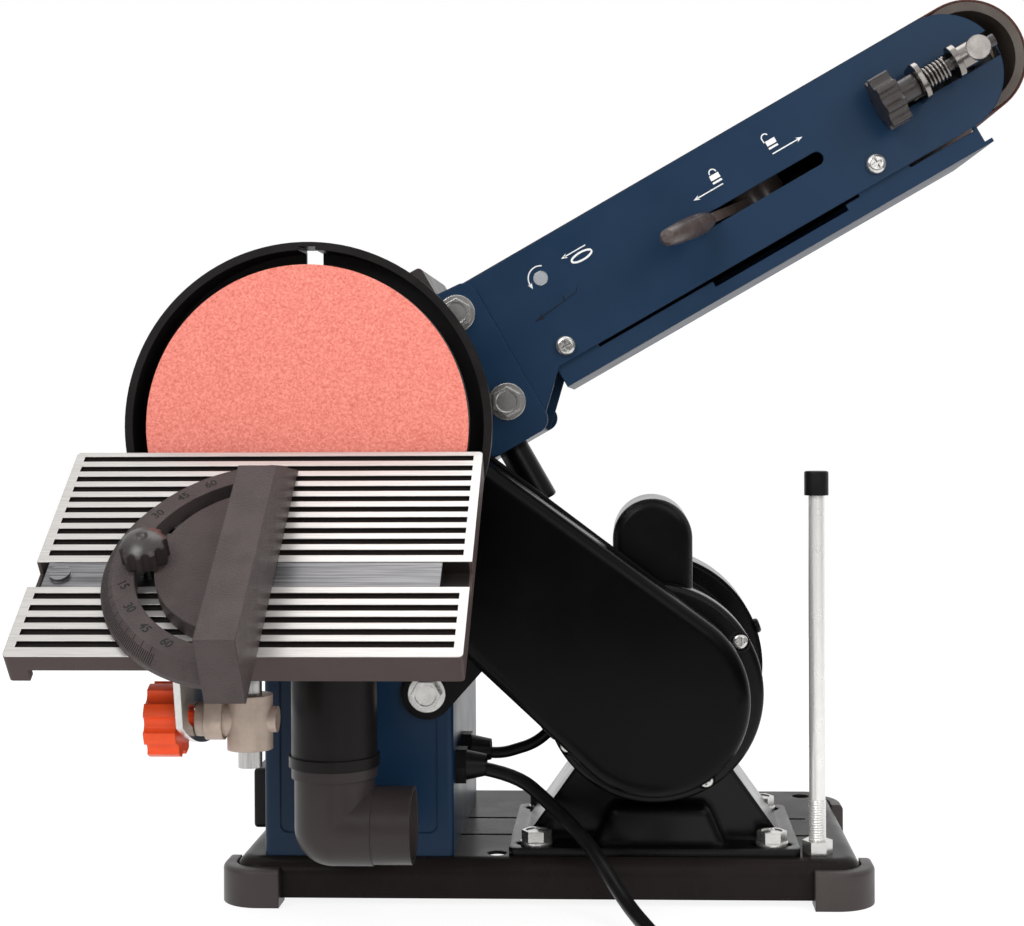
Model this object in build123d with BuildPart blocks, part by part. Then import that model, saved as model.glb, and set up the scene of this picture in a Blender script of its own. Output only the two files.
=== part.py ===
from build123d import *
import os
from math import atan2, cos, degrees, hypot, pi, radians, sin, sqrt, tan

# Bench belt and disc sander, millimetres. +X to the right, +Y away from the operator, +Z up.
# The origin is the middle of the base, on the bench top. The disc faces -Y.

# Fits between pieces that move on each other, and between fixed pieces
running_gap = 0.05
body_gap = 0.3
hole_slack = 0.4

# Pressed steel base on four rubber corners
base_width = 310.0
base_depth = 168.0
base_top = 22.5
base_skirt = 3.5
base_sheet = 1.6
base_corner = 14.0
base_edge = 8.0
base_rib_width = 3.0
base_rib_depth = 0.7
base_rib_rows = (-31.0, 7.0)
base_rib_inset = 20.0
anchor_hole = 9.5
anchor_inset_x = 17.0
anchor_inset_y = 20.0
front_hole_x = -25.0
front_hole_y = -70.0
foot_leg = 31.0
foot_proud = 6.5
foot_top = 18.5
foot_lip = 9.0
foot_round = 2.5

# Spindle line and the stack of pieces behind the disc face
spindle_x = -107.5
spindle_z = 235.5
disc_face_y = -134.0
disc_diameter = 150.0
abrasive_sheet = 1.0
disc_plate_thickness = 8.0
disc_hub_diameter = 40.0
disc_hub_length = 12.0
spindle_diameter = 17.0

# Disc guard with its dust pipe
guard_outer_radius = 84.4
guard_wall = 2.5
guard_rim_set_back = 2.0
guard_depth = 24.5
guard_hub_hole = 46.0
guard_rim_lip = 1.2
guard_notch_width = 8.0
guard_notch_inner = 75.5
guard_post_diameter = 10.0
guard_posts = ((-24.0, -63.5), (6.0, -66.0))
pipe_x = -98.0
pipe_y = disc_face_y + 16.0
pipe_diameter = 40.4
pipe_wall = 1.8
pipe_slip = 0.1
pipe_bottom = 76.0
pipe_taper_top = 128.0
throat_top = 158.0
throat_inset = 3.0
throat_width = 46.0
throat_corner = 8.0
collar_proud = 1.2
collar_height = 5.0

# Dust elbow, swivelling on the pipe
elbow_diameter = 36.6
elbow_wall = 2.0
elbow_swell = 0.6
elbow_spigot = 18.4
elbow_axis_z = 47.4
elbow_reach = 37.4
elbow_top = 96.0

# Pillar box and its two cheeks
pillar_left = -140.0
pillar_width = 94.0
pillar_depth = 134.0
pillar_top = 150.0
pillar_sheet = 2.5
pillar_flange = 18.0
pillar_edge = 3.0
cheek_radius = 40.0
panel_margin = 8.0
panel_top = 122.0
panel_bottom = 34.0
panel_sink = 0.8
panel_corner = 4.0

# V-belt drive and its guard
guard_plate_thickness = 2.0
cover_gap = 1.5
cover_wall = 2.0
cover_motor_radius = 46.0
cover_spindle_radius = 33.5
cover_round = 6.0
cover_hub_hole = 32.0
ear_x = 48.9
ear_z = 103.4
ear_radius = 13.0
motor_pulley_radius = 36.0
spindle_pulley_radius = 24.0
pulley_width = 15.0
pulley_rim = 4.2
pulley_gap = 3.0
v_belt_width = 8.5
v_belt_height = 6.0

# Motor
motor_x = 53.0
motor_z = 103.0
shield_radius = 54.2
shield_length = 15.0
shield_round = 3.0
shell_radius = 50.0
shell_wall = 3.0
shell_length = 96.0
cowl_radius = 61.0
cowl_wall = 1.5
cowl_length = 46.0
cowl_overlap = 8.0
cowl_round = 8.0
cowl_slot_width = 4.0
cowl_slots = 20
cowl_slot_inner = 22.0
cowl_slot_outer = 48.0
motor_shaft = 12.0
rotor_radius = 27.0
rotor_length = 52.0
rotor_start = 22.0
rotor_air_gap = 0.5
stator_length = 58.0
winding_inner = 32.0
winding_outer = 43.0
winding_length = 9.0
fan_radius = 52.0
fan_hub = 12.0
fan_width = 14.0
fan_blades = 9
fan_blade_thickness = 2.5
capacitor_width = 40.0
capacitor_top = 198.0
capacitor_round = 4.0
capacitor_front = disc_face_y + 74.0
capacitor_length = 60.0
shield_screw_circle = 49.6
shield_screw = 2.0
screw_angles = (31.0, 121.0, 211.0, 301.0)
cowl_screw_angles = (20.0, 140.0, 260.0)

# Motor foot and its bolts
foot_plate_width = 144.0
foot_plate_depth = 100.0
foot_plate_sheet = 4.0
foot_front = -76.0
saddle_bottom_width = 130.0
saddle_top_width = 78.0
saddle_top = 63.0
saddle_front = -56.0
saddle_depth = 60.0
saddle_wall = 3.5
saddle_boss_bottom = 66.0
saddle_boss_top = 49.0
saddle_boss_height = 19.5
saddle_boss_depth = 12.0
saddle_boss_round = 5.0
saddle_boss_shift = 3.0
foot_bolt_spacing_x = 117.0
foot_bolt_spacing_y = 80.0
foot_bolt_front = -66.0
foot_slot_length = 20.0
m8 = 8.0
m8_flats = 13.0
m8_head = 5.3
m8_washer = 16.0
washer_sheet = 1.6
bolt_dish_share = 0.8
bolt_dish_depth = 0.5
m8_nut = 6.5

# Bearings, 17 x 35 x 10 on the spindle and 12 x 28 x 8 in the motor
bearing_outer = 35.0
bearing_width = 10.0
motor_bearing_outer = 28.0
motor_bearing_width = 8.0
housing_outer = 44.0
housing_flange = 60.0
housing_flange_sheet = 2.0

# Belt arm: angle in its stored pose, belt loop and rollers
arm_angle = 29.7
belt_length = 915.0
belt_width = 100.0
belt_sheet = 1.0
roller_radius = 28.3
roller_spacing = (belt_length - 2 * pi * (roller_radius + body_gap + belt_sheet / 2)) / 2
drum_bore_land = 3.0
arm_side_gap = 5.0
arm_sheet = 2.5
root_sheet = 3.0
root_front_gap = 7.5
root_rear_gap = 0.5
arm_low = -31.4
arm_root_start = 46.0
arm_root_low = -55.0
arm_root_corner = 89.0
arm_notch = 113.5
arm_top_round = 2.2
root_edge = 96.5
root_top = 29.2
root_corner_round = 7.0
root_hub_radius = 36.0
platen_sheet = 2.0
platen_end = 332.0
fork_slot = 14.0
fork_start = 319.3
tip_centre = 350.0
bridge_start = 56.0
bridge_end = 88.0
bridge_sheet = 4.0
lock_bolts = ((82.5, 16.8), (82.5, -33.8))
lock_flange = 18.5
lock_flange_sheet = 1.6
lock_head_flats = 13.0
lock_head = 5.0
lock_shank = 8.0

# Lower cover of the arm, with its window
cover_start = 106.0
cover_end = 352.0
cover_low = -42.3
cover_sheet = 2.0
cover_tab_top = -16.0
cover_tab_length = 26.0
cover_screw_places = ((121.5, -24.1), (299.5, -23.1))
cover_screw_head = 10.0
cover_screw_head_height = 3.4
cover_screw_shank = 4.0
window_start = 201.0
window_end = 277.0
window_low = -36.0
cover_slit = 1.5
cover_slits = ((136.0, 285.0), (314.0, 350.0))
cover_lip = 4.0

# Drum guard with its work stop
stop_start = 54.0
stop_end = 78.0
stop_top = 47.0
stop_lift = 2.0
stop_ear_low = 8.0
hood_inner = 33.0
hood_sheet = 2.5
hood_from = 70.0
hood_to = 200.0

# Round bar under the root of the arm
bar_diameter = 15.6
bar_place = 72.0
bar_end = -86.0
bar_y = disc_face_y + 90.0

# Tension lever with its spiral cam, idler yoke and axle
lever_place = 241.5
lever_y = disc_face_y + 110.0
lever_level = -6.0
lever_swing = 64.4
lever_reach = 100.0
lever_strip = 7.0
lever_strip_thickness = 5.0
lever_hub_radius = 9.0
lever_hub_height = 12.0
lever_pin = 8.0
paddle_length = 49.5
paddle_neck = 3.3
paddle_swell = 5.5
paddle_tip = 4.0
cam_reach = 19.2
cam_lift = 10.0
cam_steps = 9
slot_start = 204.0
slot_end = 279.0
slot_width = 7.0
web_width = 34.0
web_sheet = 2.0
yoke_sheet = 2.5
yoke_half = 10.0
yoke_back = 318.0
yoke_bar = 8.0
yoke_gap = 0.5
push_rod = 8.0
cam_clear = 1.8
axle_diameter = 12.0
axle_front = disc_face_y + 48.0
axle_rear_proud = 8.0
axle_play = 2.2

# Belt tracking screw
tracking_y = disc_face_y + 54.5
tracking_knob_diameter = 27.5
tracking_knob_length = 10.5
tracking_knob_start = 312.0
tracking_lobes = 8
tracking_lobe_radius = 4.5
tracking_neck = 12.0
tracking_screw = 6.0
tracking_tab = 333.0
tracking_tab_sheet = 2.5
tracking_tab_half = 9.5
tracking_tab_round = 7.0
tracking_tab_depth = 27.0
tracking_neck_length = 5.4
tracking_neck_half = 6.0
tracking_screw_end = 376.0
tracking_washer = 17.0
tracking_washer_face = 353.0
spring_diameter = 11.5
spring_wire = 1.5
spring_turns = 7

# Stop rod that the arm rests on
rod_inset = 21.0
rod_x = base_width / 2 - rod_inset
rod_y = -66.0
rod_diameter = 8.0
rod_cap_diameter = 12.0
rod_cap_length = 12.0
rod_cap_cover = 2.0
rod_top = 212.0

# Disc table, shown tilted; places on it run from its back edge towards the operator
table_tilt = 38.0
table_x = -118.0
table_width = 186.0
table_depth = 129.0
table_plate = 7.0
table_pivot_in = 8.0
table_pivot_down = 12.0
table_apron = 14.0
table_left_apron = 8.0
table_left_step = 66.0
table_leg = 9.0
table_wall = 4.0
table_disc_gap = 1.9
table_pivot_z = 209.5
groove_width = 3.5
groove_depth = 1.6
groove_pitch = 7.0
groove_margin = 4.0
groove_first = 4.5
groove_rows_back = 10
groove_rows_front = 5
groove_front_first = 94.0
slot_place = 81.0
mitre_slot_width = 15.4
mitre_slot_depth = 7.0
slot_floor = 3.0
lug_sheet = 4.0
pivot_diameter = 4.6
pivot_lug_round = 5.5

# Cross clamp, support rod, tilt sector and its lock knob
clamp_x = -126.0
clamp_y = disc_face_y - 40.0
clamp_body = 20.0
clamp_low = 94.0
clamp_high = 118.0
clamp_axis_z = 107.0
support_diameter = 10.5
support_low = 86.0
support_high = 137.0
support_bend = 14.0
support_tail = 10.0
left_boss = 15.0
left_boss_end = -149.2
left_collar_end = -137.5
right_boss = 11.5
right_boss_end = -113.7
upright_x = -141.0
upright_sheet = 8.0
upright_round = 4.6
upright_foot = 9.0
sector_sheet = 3.0
sector_slot = 8.6
sector_rim = 9.5
sector_web = 50.0
sector_spare = 5.0
lock_screw = 8.0
lock_screw_length = 28.0
lock_knob_diameter = 33.0
lock_knob_length = 14.0
lock_knob_lobes = 8
lock_lobe_radius = 4.0
lock_collar = 15.0
table_tilt_most = 45.0

# Mitre gauge
mitre_x = -112.0
mitre_bar_width = 15.0
mitre_bar_thickness = 6.6
mitre_bar_length = 168.0
mitre_bar_middle = -121.5
mitre_rim = 67.5
mitre_base = 3.0
mitre_top = 8.5
mitre_slot_radius = 48.7
mitre_slot_gap = 8.2
mitre_slot_swing = 66.0
fence_left = -12.0
fence_right = 4.4
fence_height = 33.0
fence_back_low = 68.0
fence_back_high = 32.0
fence_front_low = 73.5
fence_front_high = 71.5
mitre_pivot = 8.0
mitre_stud = 5.4
mitre_knob_diameter = 20.0
mitre_knob_height = 12.5
mitre_knob_dome = 14.0
mitre_knob_dimple = 3.2
mitre_knob_seat = 1.0
mitre_knob_flutes = 10
mitre_flute_radius = 2.2
rivet_diameter = 9.0
rivet_height = 1.6
rivet_inset = 6.5

# Switch on the left of the pillar
switch_front = -64.0
switch_length = 55.0
switch_low = 33.0
switch_height = 30.0
switch_proud = 8.0
switch_body = 20.0
switch_margin = 5.0
button_size = 19.0
button_proud = 0.4
button_depth = 9.0
button_travel = 2.5
button_slack = 0.3

# Cables
lead_diameter = 7.0
motor_lead_diameter = 5.9
gland_diameter = 17.0
gland_nut = 5.0
gland_length = 15.0
mains_gland_y = disc_face_y + 76.5
mains_gland_z = 64.0
motor_gland_y = disc_face_y + 108.0
motor_gland_z = 66.0
lead_rest = 4.0
coil_radius = 34.5
coil_pitch = 7.5
coil_x = 12.0
coil_y = -258.0
coil_layers = 2
coil_columns = 3
coil_slack = 0.3
coil_widest = coil_radius + coil_pitch * (coil_columns - 1)
gland_thread = 12.0
gland_bore_slack = 1.6
nipple_diameter = 11.0
nipple_length = 9.0
plug_diameter = 38.0
plug_length = 42.0
plug_sleeve = 26.0
plug_pin = 4.8
plug_pin_length = 19.0
plug_pin_spacing = 19.0

# Places worked out from the sizes above
guard_rim_y = disc_face_y + guard_rim_set_back
guard_back_y = guard_rim_y + guard_depth
cover_front_y = guard_back_y + cover_gap
pillar_front = disc_face_y + 57.0
pillar_back = pillar_front + pillar_depth
pillar_right = pillar_left + pillar_width
pillar_mid_x = pillar_left + pillar_width / 2
pillar_mid_y = pillar_front + pillar_depth / 2
guard_plate_y = pillar_front - guard_plate_thickness
cover_depth = guard_plate_y - cover_front_y
root_front_y = pillar_front + pillar_sheet + root_front_gap
arm_front_y = root_front_y + root_sheet
arm_inner_y = arm_front_y + arm_sheet
belt_front_y = arm_inner_y + arm_side_gap
belt_back_y = belt_front_y + belt_width
arm_inner_back_y = belt_back_y + arm_side_gap
arm_back_y = arm_inner_back_y + arm_sheet
root_back_y = arm_back_y + root_sheet
rear_cheek_y = pillar_back - pillar_sheet
belt_inner = roller_radius + body_gap
belt_outer = belt_inner + belt_sheet
motor_front = pillar_front
shell_front = motor_front + shield_length
shell_back = shell_front + shell_length
cowl_front = shell_back - cowl_overlap
drive_dx = motor_x - spindle_x
drive_dz = motor_z - spindle_z
pulley_mid_y = cover_front_y + cover_depth / 2
plate_top = base_top + foot_plate_sheet


def facing(y, x=0.0, z=0.0, turn=0.0):
    # A plane seen by the operator: local x along the turn, local y up, local z towards -Y
    return Plane(origin=(x, y, z), x_dir=(cos(radians(turn)), 0, sin(radians(turn))), z_dir=(0, -1, 0))


def spindle_plane(y):
    return facing(y, spindle_x, spindle_z)


def motor_plane(y):
    return facing(y, motor_x, motor_z)


def arm_plane(y):
    # Local x runs out along the arm from the spindle, local y stands up from the belt line
    return facing(y, spindle_x, spindle_z, arm_angle)


def arm_point(along, level, y):
    place = arm_plane(y).from_local_coords((along, level, 0))
    return (place.X, place.Y, place.Z)


arm_out = Vector(cos(radians(arm_angle)), 0, sin(radians(arm_angle)))
arm_up = Vector(-sin(radians(arm_angle)), 0, cos(radians(arm_angle)))


def along_arm(along, level, y):
    # A plane across the arm, looking out along it
    return Plane(origin=arm_point(along, level, y), x_dir=(0, 1, 0), z_dir=tuple(arm_out))


def above_arm(along, level, y):
    # A plane flat on the arm: local x out along it, local y away from the operator
    return Plane(origin=arm_point(along, level, y), x_dir=tuple(arm_out), z_dir=tuple(arm_up))


def hex_bolt(seat, flats, head, shank, length, washer=0.0, flange=0.0):
    # Hexagon bolt on a seat plane that faces outwards, with a washer or a flange under the head
    disc = washer if washer else flange
    with BuildPart() as bolt:
        if disc:
            with BuildSketch(seat):
                Circle(disc / 2)
            extrude(amount=washer_sheet)
        with BuildSketch(seat.offset(washer_sheet if disc else 0)):
            RegularPolygon(flats / 2, 6, major_radius=False)
        extrude(amount=head)
        with BuildSketch(seat.offset(head + (washer_sheet if disc else 0))):
            Circle(flats * bolt_dish_share / 2)
        extrude(amount=-bolt_dish_depth, mode=Mode.SUBTRACT)
        with BuildSketch(seat):
            Circle(shank / 2)
        extrude(amount=-length)
    return bolt.part


def cross_screw(seat, head_diameter, head_height, shank, length):
    # Pan head screw with a cross recess
    with BuildPart() as screw:
        with BuildSketch(seat):
            Circle(head_diameter / 2)
        extrude(amount=head_height)
        top = screw.faces().sort_by(Axis(seat.origin, seat.z_dir))[-1]
        fillet(top.edges(), head_height * 0.6)
        with BuildSketch(seat.offset(head_height)):
            Rectangle(head_diameter * 0.55, head_diameter * 0.13)
            Rectangle(head_diameter * 0.13, head_diameter * 0.55)
        extrude(amount=-head_height * 0.5, mode=Mode.SUBTRACT)
        with BuildSketch(seat):
            Circle(shank / 2)
        extrude(amount=-length)
    return screw.part


def lobed_knob(seat, diameter, length, lobes, lobe_radius):
    # Knob with scooped flutes round its rim and softened ends
    with BuildPart() as knob:
        with BuildSketch(seat):
            Circle(diameter / 2)
            with PolarLocations(diameter / 2 + lobe_radius * 0.35, lobes):
                Circle(lobe_radius, mode=Mode.SUBTRACT)
        extrude(amount=length)
    return knob.part


def arc_slot(radius, width, from_angle, to_angle):
    # Curved slot with round ends, about the sketch's own origin
    outer = radius + width / 2
    inner = radius - width / 2
    with BuildSketch() as slot:
        with BuildLine():
            CenterArc((0, 0), outer, from_angle, to_angle - from_angle)
            CenterArc((0, 0), inner, from_angle, to_angle - from_angle)
            for angle in (from_angle, to_angle):
                way = (cos(radians(angle)), sin(radians(angle)))
                Line((inner * way[0], inner * way[1]), (outer * way[0], outer * way[1]))
        make_face()
        for angle in (from_angle, to_angle):
            with Locations((radius * cos(radians(angle)), radius * sin(radians(angle)))):
                Circle(width / 2)
    return slot.sketch


os.makedirs("parts", exist_ok=True)

# Base tray: a pressed pan with rounded top edges, two ribs, bolt-down holes and holes for what stands on it
bolt_rows = [(motor_x + sx * foot_bolt_spacing_x / 2, foot_bolt_front + sy * foot_bolt_spacing_y)
             for sx in (-1, 1) for sy in (0, 1)]
pillar_bolt_x = pillar_width / 2 - pillar_sheet - pillar_flange / 2
pillar_bolt_y = pillar_depth / 2 - pillar_sheet - pillar_flange / 2
pillar_bolts = [(pillar_mid_x + sx * pillar_bolt_x, pillar_mid_y + sy * pillar_bolt_y)
                for sx in (-1, 1) for sy in (-1, 1)]
anchor_places = [(sx * (base_width / 2 - anchor_inset_x), base_depth / 2 - anchor_inset_y) for sx in (-1, 1)]
with BuildPart() as base_tray:
    with BuildSketch(Plane.XY.offset(base_skirt)):
        RectangleRounded(base_width, base_depth, base_corner)
    extrude(amount=base_top - base_skirt)
    fillet(base_tray.faces().sort_by(Axis.Z)[-1].edges(), base_edge)
    offset(amount=-base_sheet, openings=base_tray.faces().sort_by(Axis.Z)[0])
    with BuildSketch(Plane.XY.offset(base_top)):
        with Locations(*[(0, row) for row in base_rib_rows]):
            Rectangle(base_width - 2 * base_rib_inset, base_rib_width)
    extrude(amount=-base_rib_depth, mode=Mode.SUBTRACT)
    with BuildSketch(Plane.XY.offset(base_top)):
        with Locations(*anchor_places, (front_hole_x, front_hole_y)):
            Circle(anchor_hole / 2)
        with Locations(*bolt_rows, *pillar_bolts, (rod_x, rod_y)):
            Circle(m8 / 2 + hole_slack)
    extrude(amount=-base_edge, mode=Mode.SUBTRACT)
base_tray.part.label = "base_tray"
export_step(base_tray.part, "parts/base_tray.step")

# Rubber feet: one wrap round each corner, under and outside the skirt
with BuildPart() as rubber_feet:
    with BuildSketch():
        RectangleRounded(base_width + 2 * foot_proud, base_depth + 2 * foot_proud, base_corner + foot_proud)
        Rectangle(base_width - 2 * foot_lip, base_depth - 2 * foot_lip, mode=Mode.SUBTRACT)
    extrude(amount=foot_top)
    fillet(rubber_feet.edges().group_by(Axis.Z)[-1].filter_by(lambda e: abs(e.center().X) > base_width / 2
           or abs(e.center().Y) > base_depth / 2), foot_round)
    with BuildSketch(Plane.XY.offset(base_skirt)):
        RectangleRounded(base_width, base_depth, base_corner)
    extrude(amount=base_top, mode=Mode.SUBTRACT)
    with BuildSketch():
        Rectangle(base_width + 2 * foot_proud - 2 * foot_leg, 2 * base_depth)
        Rectangle(2 * base_width, base_depth + 2 * foot_proud - 2 * foot_leg)
    extrude(amount=base_top, mode=Mode.SUBTRACT)
rubber_feet.part.label = "rubber_feet"
export_step(rubber_feet.part, "parts/rubber_feet.step")

# Pillar: an open-bottomed box with a foot flange inside, and a cheek front and back up to the spindle
cheek_turn = degrees(atan2(pillar_top - spindle_z, pillar_right - spindle_x))
with BuildPart() as pillar:
    with BuildSketch(Plane.XY.offset(base_top)):
        with Locations((pillar_mid_x, pillar_mid_y)):
            RectangleRounded(pillar_width, pillar_depth, pillar_edge)
    extrude(amount=pillar_top - base_top)
    with BuildSketch(Plane.XY.offset(base_top + pillar_sheet)):
        with Locations((pillar_mid_x, pillar_mid_y)):
            Rectangle(pillar_width - 2 * pillar_sheet, pillar_depth - 2 * pillar_sheet)
    extrude(amount=pillar_top - base_top - 2 * pillar_sheet, mode=Mode.SUBTRACT)
    with BuildSketch(Plane.XY.offset(base_top)):
        with Locations((pillar_mid_x, pillar_mid_y)):
            Rectangle(pillar_width - 2 * pillar_sheet - 2 * pillar_flange,
                      pillar_depth - 2 * pillar_sheet - 2 * pillar_flange)
        with Locations(*pillar_bolts):
            Circle(m8 / 2 + hole_slack)
    extrude(amount=pillar_sheet, mode=Mode.SUBTRACT)
    for cheek_y in (pillar_front, rear_cheek_y):
        with BuildSketch(spindle_plane(cheek_y)):
            Circle(cheek_radius)
            with Locations((pillar_mid_x - spindle_x, pillar_top - spindle_z - pillar_sheet / 2)):
                Rectangle(pillar_width - 2 * pillar_edge, pillar_sheet)
            make_hull()
        extrude(amount=-pillar_sheet)
        with BuildSketch(spindle_plane(cheek_y)):
            Circle(housing_outer / 2)
        extrude(amount=-pillar_sheet, mode=Mode.SUBTRACT)
    with BuildSketch(facing(pillar_front, pillar_mid_x, (panel_top + panel_bottom) / 2)):
        RectangleRounded(pillar_width - 2 * panel_margin, panel_top - panel_bottom, panel_corner)
    extrude(amount=-panel_sink, mode=Mode.SUBTRACT)
    with BuildSketch(facing(pillar_front, ear_x + spindle_x, ear_z)):
        Circle(m8 / 2 + hole_slack)
    extrude(amount=-pillar_sheet, mode=Mode.SUBTRACT)
    with BuildSketch(facing(pillar_front, clamp_x, support_high)):
        Circle(support_diameter / 2 + running_gap)
    extrude(amount=-pillar_sheet, mode=Mode.SUBTRACT)
    with BuildSketch(Plane.YZ.offset(pillar_left)):
        with Locations((switch_front + switch_length / 2, switch_low + switch_height / 2)):
            Rectangle(switch_length - 2 * switch_margin, switch_height - 2 * switch_margin)
    extrude(amount=pillar_sheet, mode=Mode.SUBTRACT)
    with BuildSketch(Plane.YZ.offset(pillar_right)):
        with Locations((mains_gland_y, mains_gland_z), (motor_gland_y, motor_gland_z)):
            Circle(gland_thread / 2)
    extrude(amount=-pillar_sheet, mode=Mode.SUBTRACT)
pillar.part.label = "pillar"
export_step(pillar.part, "parts/pillar.step")

# Bolts through the base: four under the pillar, four on the motor foot, and the stop rod's nuts
bolt_grip = m8_nut + foot_plate_sheet + base_sheet
with BuildPart() as base_bolts:
    for spot in pillar_bolts:
        add(hex_bolt(Plane((*spot, base_top + pillar_sheet)), m8_flats, m8_head, m8,
                     pillar_sheet + base_sheet + m8_nut, washer=m8_washer))
        with BuildSketch(Plane((*spot, base_top - base_sheet))):
            RegularPolygon(m8_flats / 2, 6, major_radius=False)
        extrude(amount=-m8_nut)
    for spot in bolt_rows:
        add(hex_bolt(Plane((*spot, plate_top)), m8_flats, m8_head, m8, bolt_grip, washer=m8_washer))
        with BuildSketch(Plane((*spot, base_top - base_sheet))):
            RegularPolygon(m8_flats / 2, 6, major_radius=False)
        extrude(amount=-m8_nut)
    for nut_face, rise in ((base_top, m8_nut), (base_top - base_sheet, -m8_nut)):
        with BuildSketch(Plane((rod_x, rod_y, nut_face))):
            RegularPolygon(m8_flats / 2, 6, major_radius=False)
            Circle(rod_diameter / 2, mode=Mode.SUBTRACT)
        extrude(amount=rise)
base_bolts.part.label = "base_bolts"
export_step(base_bolts.part, "parts/base_bolts.step")

# Switch housing on the left side, with a well for each button
button_middles = [switch_front + switch_length / 2 + side * (button_size / 2 + switch_margin / 2)
                  for side in (-1, 1)]
switch_mid_z = switch_low + switch_height / 2
switch_face = pillar_left - switch_proud
with BuildPart() as switch_housing:
    with BuildSketch(Plane.YZ.offset(switch_face)):
        with Locations((switch_front + switch_length / 2, switch_mid_z)):
            RectangleRounded(switch_length, switch_height, switch_margin / 2)
    extrude(amount=switch_proud)
    fillet(switch_housing.faces().sort_by(Axis.X)[0].edges(), switch_margin / 3)
    with BuildSketch(Plane.YZ.offset(pillar_left)):
        with Locations((switch_front + switch_length / 2, switch_mid_z)):
            Rectangle(switch_length - 2 * switch_margin - hole_slack,
                      switch_height - 2 * switch_margin - hole_slack)
    extrude(amount=switch_body)
    with BuildSketch(Plane.YZ.offset(switch_face)):
        with Locations(*[(middle, switch_mid_z) for middle in button_middles]):
            Rectangle(button_size + 2 * button_slack, button_size + 2 * button_slack)
    extrude(amount=button_depth + button_travel + body_gap - button_proud, mode=Mode.SUBTRACT)
switch_housing.part.label = "switch_housing"
export_step(switch_housing.part, "parts/switch_housing.step")

# Start and stop buttons
with BuildPart() as start_button:
    with BuildSketch(Plane.YZ.offset(switch_face - button_proud)):
        with Locations((button_middles[0], switch_mid_z)):
            RectangleRounded(button_size, button_size, button_slack * 5)
    extrude(amount=button_depth)
    fillet(start_button.faces().sort_by(Axis.X)[0].edges(), button_slack * 3)
start_button.part.label = "start_button"
export_step(start_button.part, "parts/start_button.step")

with BuildPart() as stop_button:
    with BuildSketch(Plane.YZ.offset(switch_face - button_proud)):
        with Locations((button_middles[1], switch_mid_z)):
            RectangleRounded(button_size, button_size, button_slack * 5)
    extrude(amount=button_depth)
    fillet(stop_button.faces().sort_by(Axis.X)[0].edges(), button_slack * 3)
stop_button.part.label = "stop_button"
export_step(stop_button.part, "parts/stop_button.step")

# Cable glands: two on the right side of the pillar and a nipple where the motor lead goes in
motor_lead_path = [(-47.0, motor_gland_y, 67.1), (-27.0, motor_gland_y, 63.3),
                   (-7.0, motor_gland_y, 69.5), (4.6, motor_gland_y, 81.2)]
mains_path = [(-47.0, mains_gland_y, 64.3), (-18.0, mains_gland_y, 61.0), (2.0, -67.0, 46.0),
              (22.0, -94.0, 33.0),
              (39.0, -118.0, 11.0), (52.0, -146.0, lead_rest), (59.0, -174.0, lead_rest),
              (62.5, -202.0, lead_rest), (62.6, -230.0, lead_rest), (coil_x + coil_widest, coil_y, lead_rest)]
tail_path = [(coil_x, coil_y - coil_widest, lead_rest + coil_pitch * (coil_layers - 1)),
             (-11.0, -308.0, 12.0), (-34.0, -309.5, 18.6), (-57.0, -310.5, 19.4)]


def lead_radius(path, index):
    # The largest comfortable bend at a corner of a cable path
    before = Vector(*path[index]) - Vector(*path[index - 1])
    after = Vector(*path[index + 1]) - Vector(*path[index])
    turn = radians(before.get_angle(after))
    return 0.45 * min(before.length, after.length) / tan(turn / 2)


def lead_bend(path):
    return min(lead_radius(path, index) for index in range(1, len(path) - 1))


def lead_tube(path, diameter):
    # Round cable along a path of points, with every corner rounded alike
    with BuildPart() as tube:
        with BuildLine() as route:
            FilletPolyline(*path, radius=lead_bend(path))
        with BuildSketch(Plane(path[0], z_dir=Vector(*path[1]) - Vector(*path[0]))):
            Circle(diameter / 2)
        sweep(path=route.wires()[0])
    return tube.part


print("lead bend radii", round(lead_bend(motor_lead_path), 1), round(lead_bend(mains_path), 1),
      round(lead_bend(tail_path), 1))
nipple_end = Vector(*motor_lead_path[-1])
nipple_way = (nipple_end - Vector(*motor_lead_path[-2])).normalized()
with BuildPart() as cable_glands:
    for gland_y, gland_z, cable in ((mains_gland_y, mains_gland_z, lead_diameter),
                                    (motor_gland_y, motor_gland_z, motor_lead_diameter)):
        with BuildSketch(Plane.YZ.offset(pillar_right)):
            with Locations((gland_y, gland_z)):
                RegularPolygon(gland_diameter / 2, 6, major_radius=False)
        extrude(amount=gland_nut)
        with BuildSketch(Plane.YZ.offset(pillar_right + gland_nut)):
            with Locations((gland_y, gland_z)):
                Circle(gland_diameter / 2 - 1)
        extrude(amount=gland_length - gland_nut, taper=12)
        with BuildSketch(Plane.YZ.offset(pillar_right)):
            with Locations((gland_y, gland_z)):
                Circle(gland_thread / 2)
        extrude(amount=-pillar_sheet)
        with BuildSketch(Plane.YZ.offset(pillar_right - pillar_sheet)):
            with Locations((gland_y, gland_z)):
                Circle(gland_diameter / 2)
        extrude(amount=-pillar_sheet)
        with BuildSketch(Plane.YZ.offset(pillar_right - 2 * pillar_sheet)):
            with Locations((gland_y, gland_z)):
                Circle(cable / 2 + gland_bore_slack)
        extrude(amount=gland_length + 2 * pillar_sheet, mode=Mode.SUBTRACT)
    with BuildSketch(Plane(nipple_end - nipple_way * nipple_length, z_dir=nipple_way)):
        Circle(nipple_diameter / 2)
        Circle(motor_lead_diameter / 2 + pipe_slip, mode=Mode.SUBTRACT)
    extrude(amount=2 * nipple_length)
    with BuildSketch(motor_plane(shell_front)):
        Circle(shell_radius)
    extrude(amount=-shell_length, mode=Mode.SUBTRACT)
cable_glands.part.label = "cable_glands"
export_step(cable_glands.part, "parts/cable_glands.step")

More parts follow.
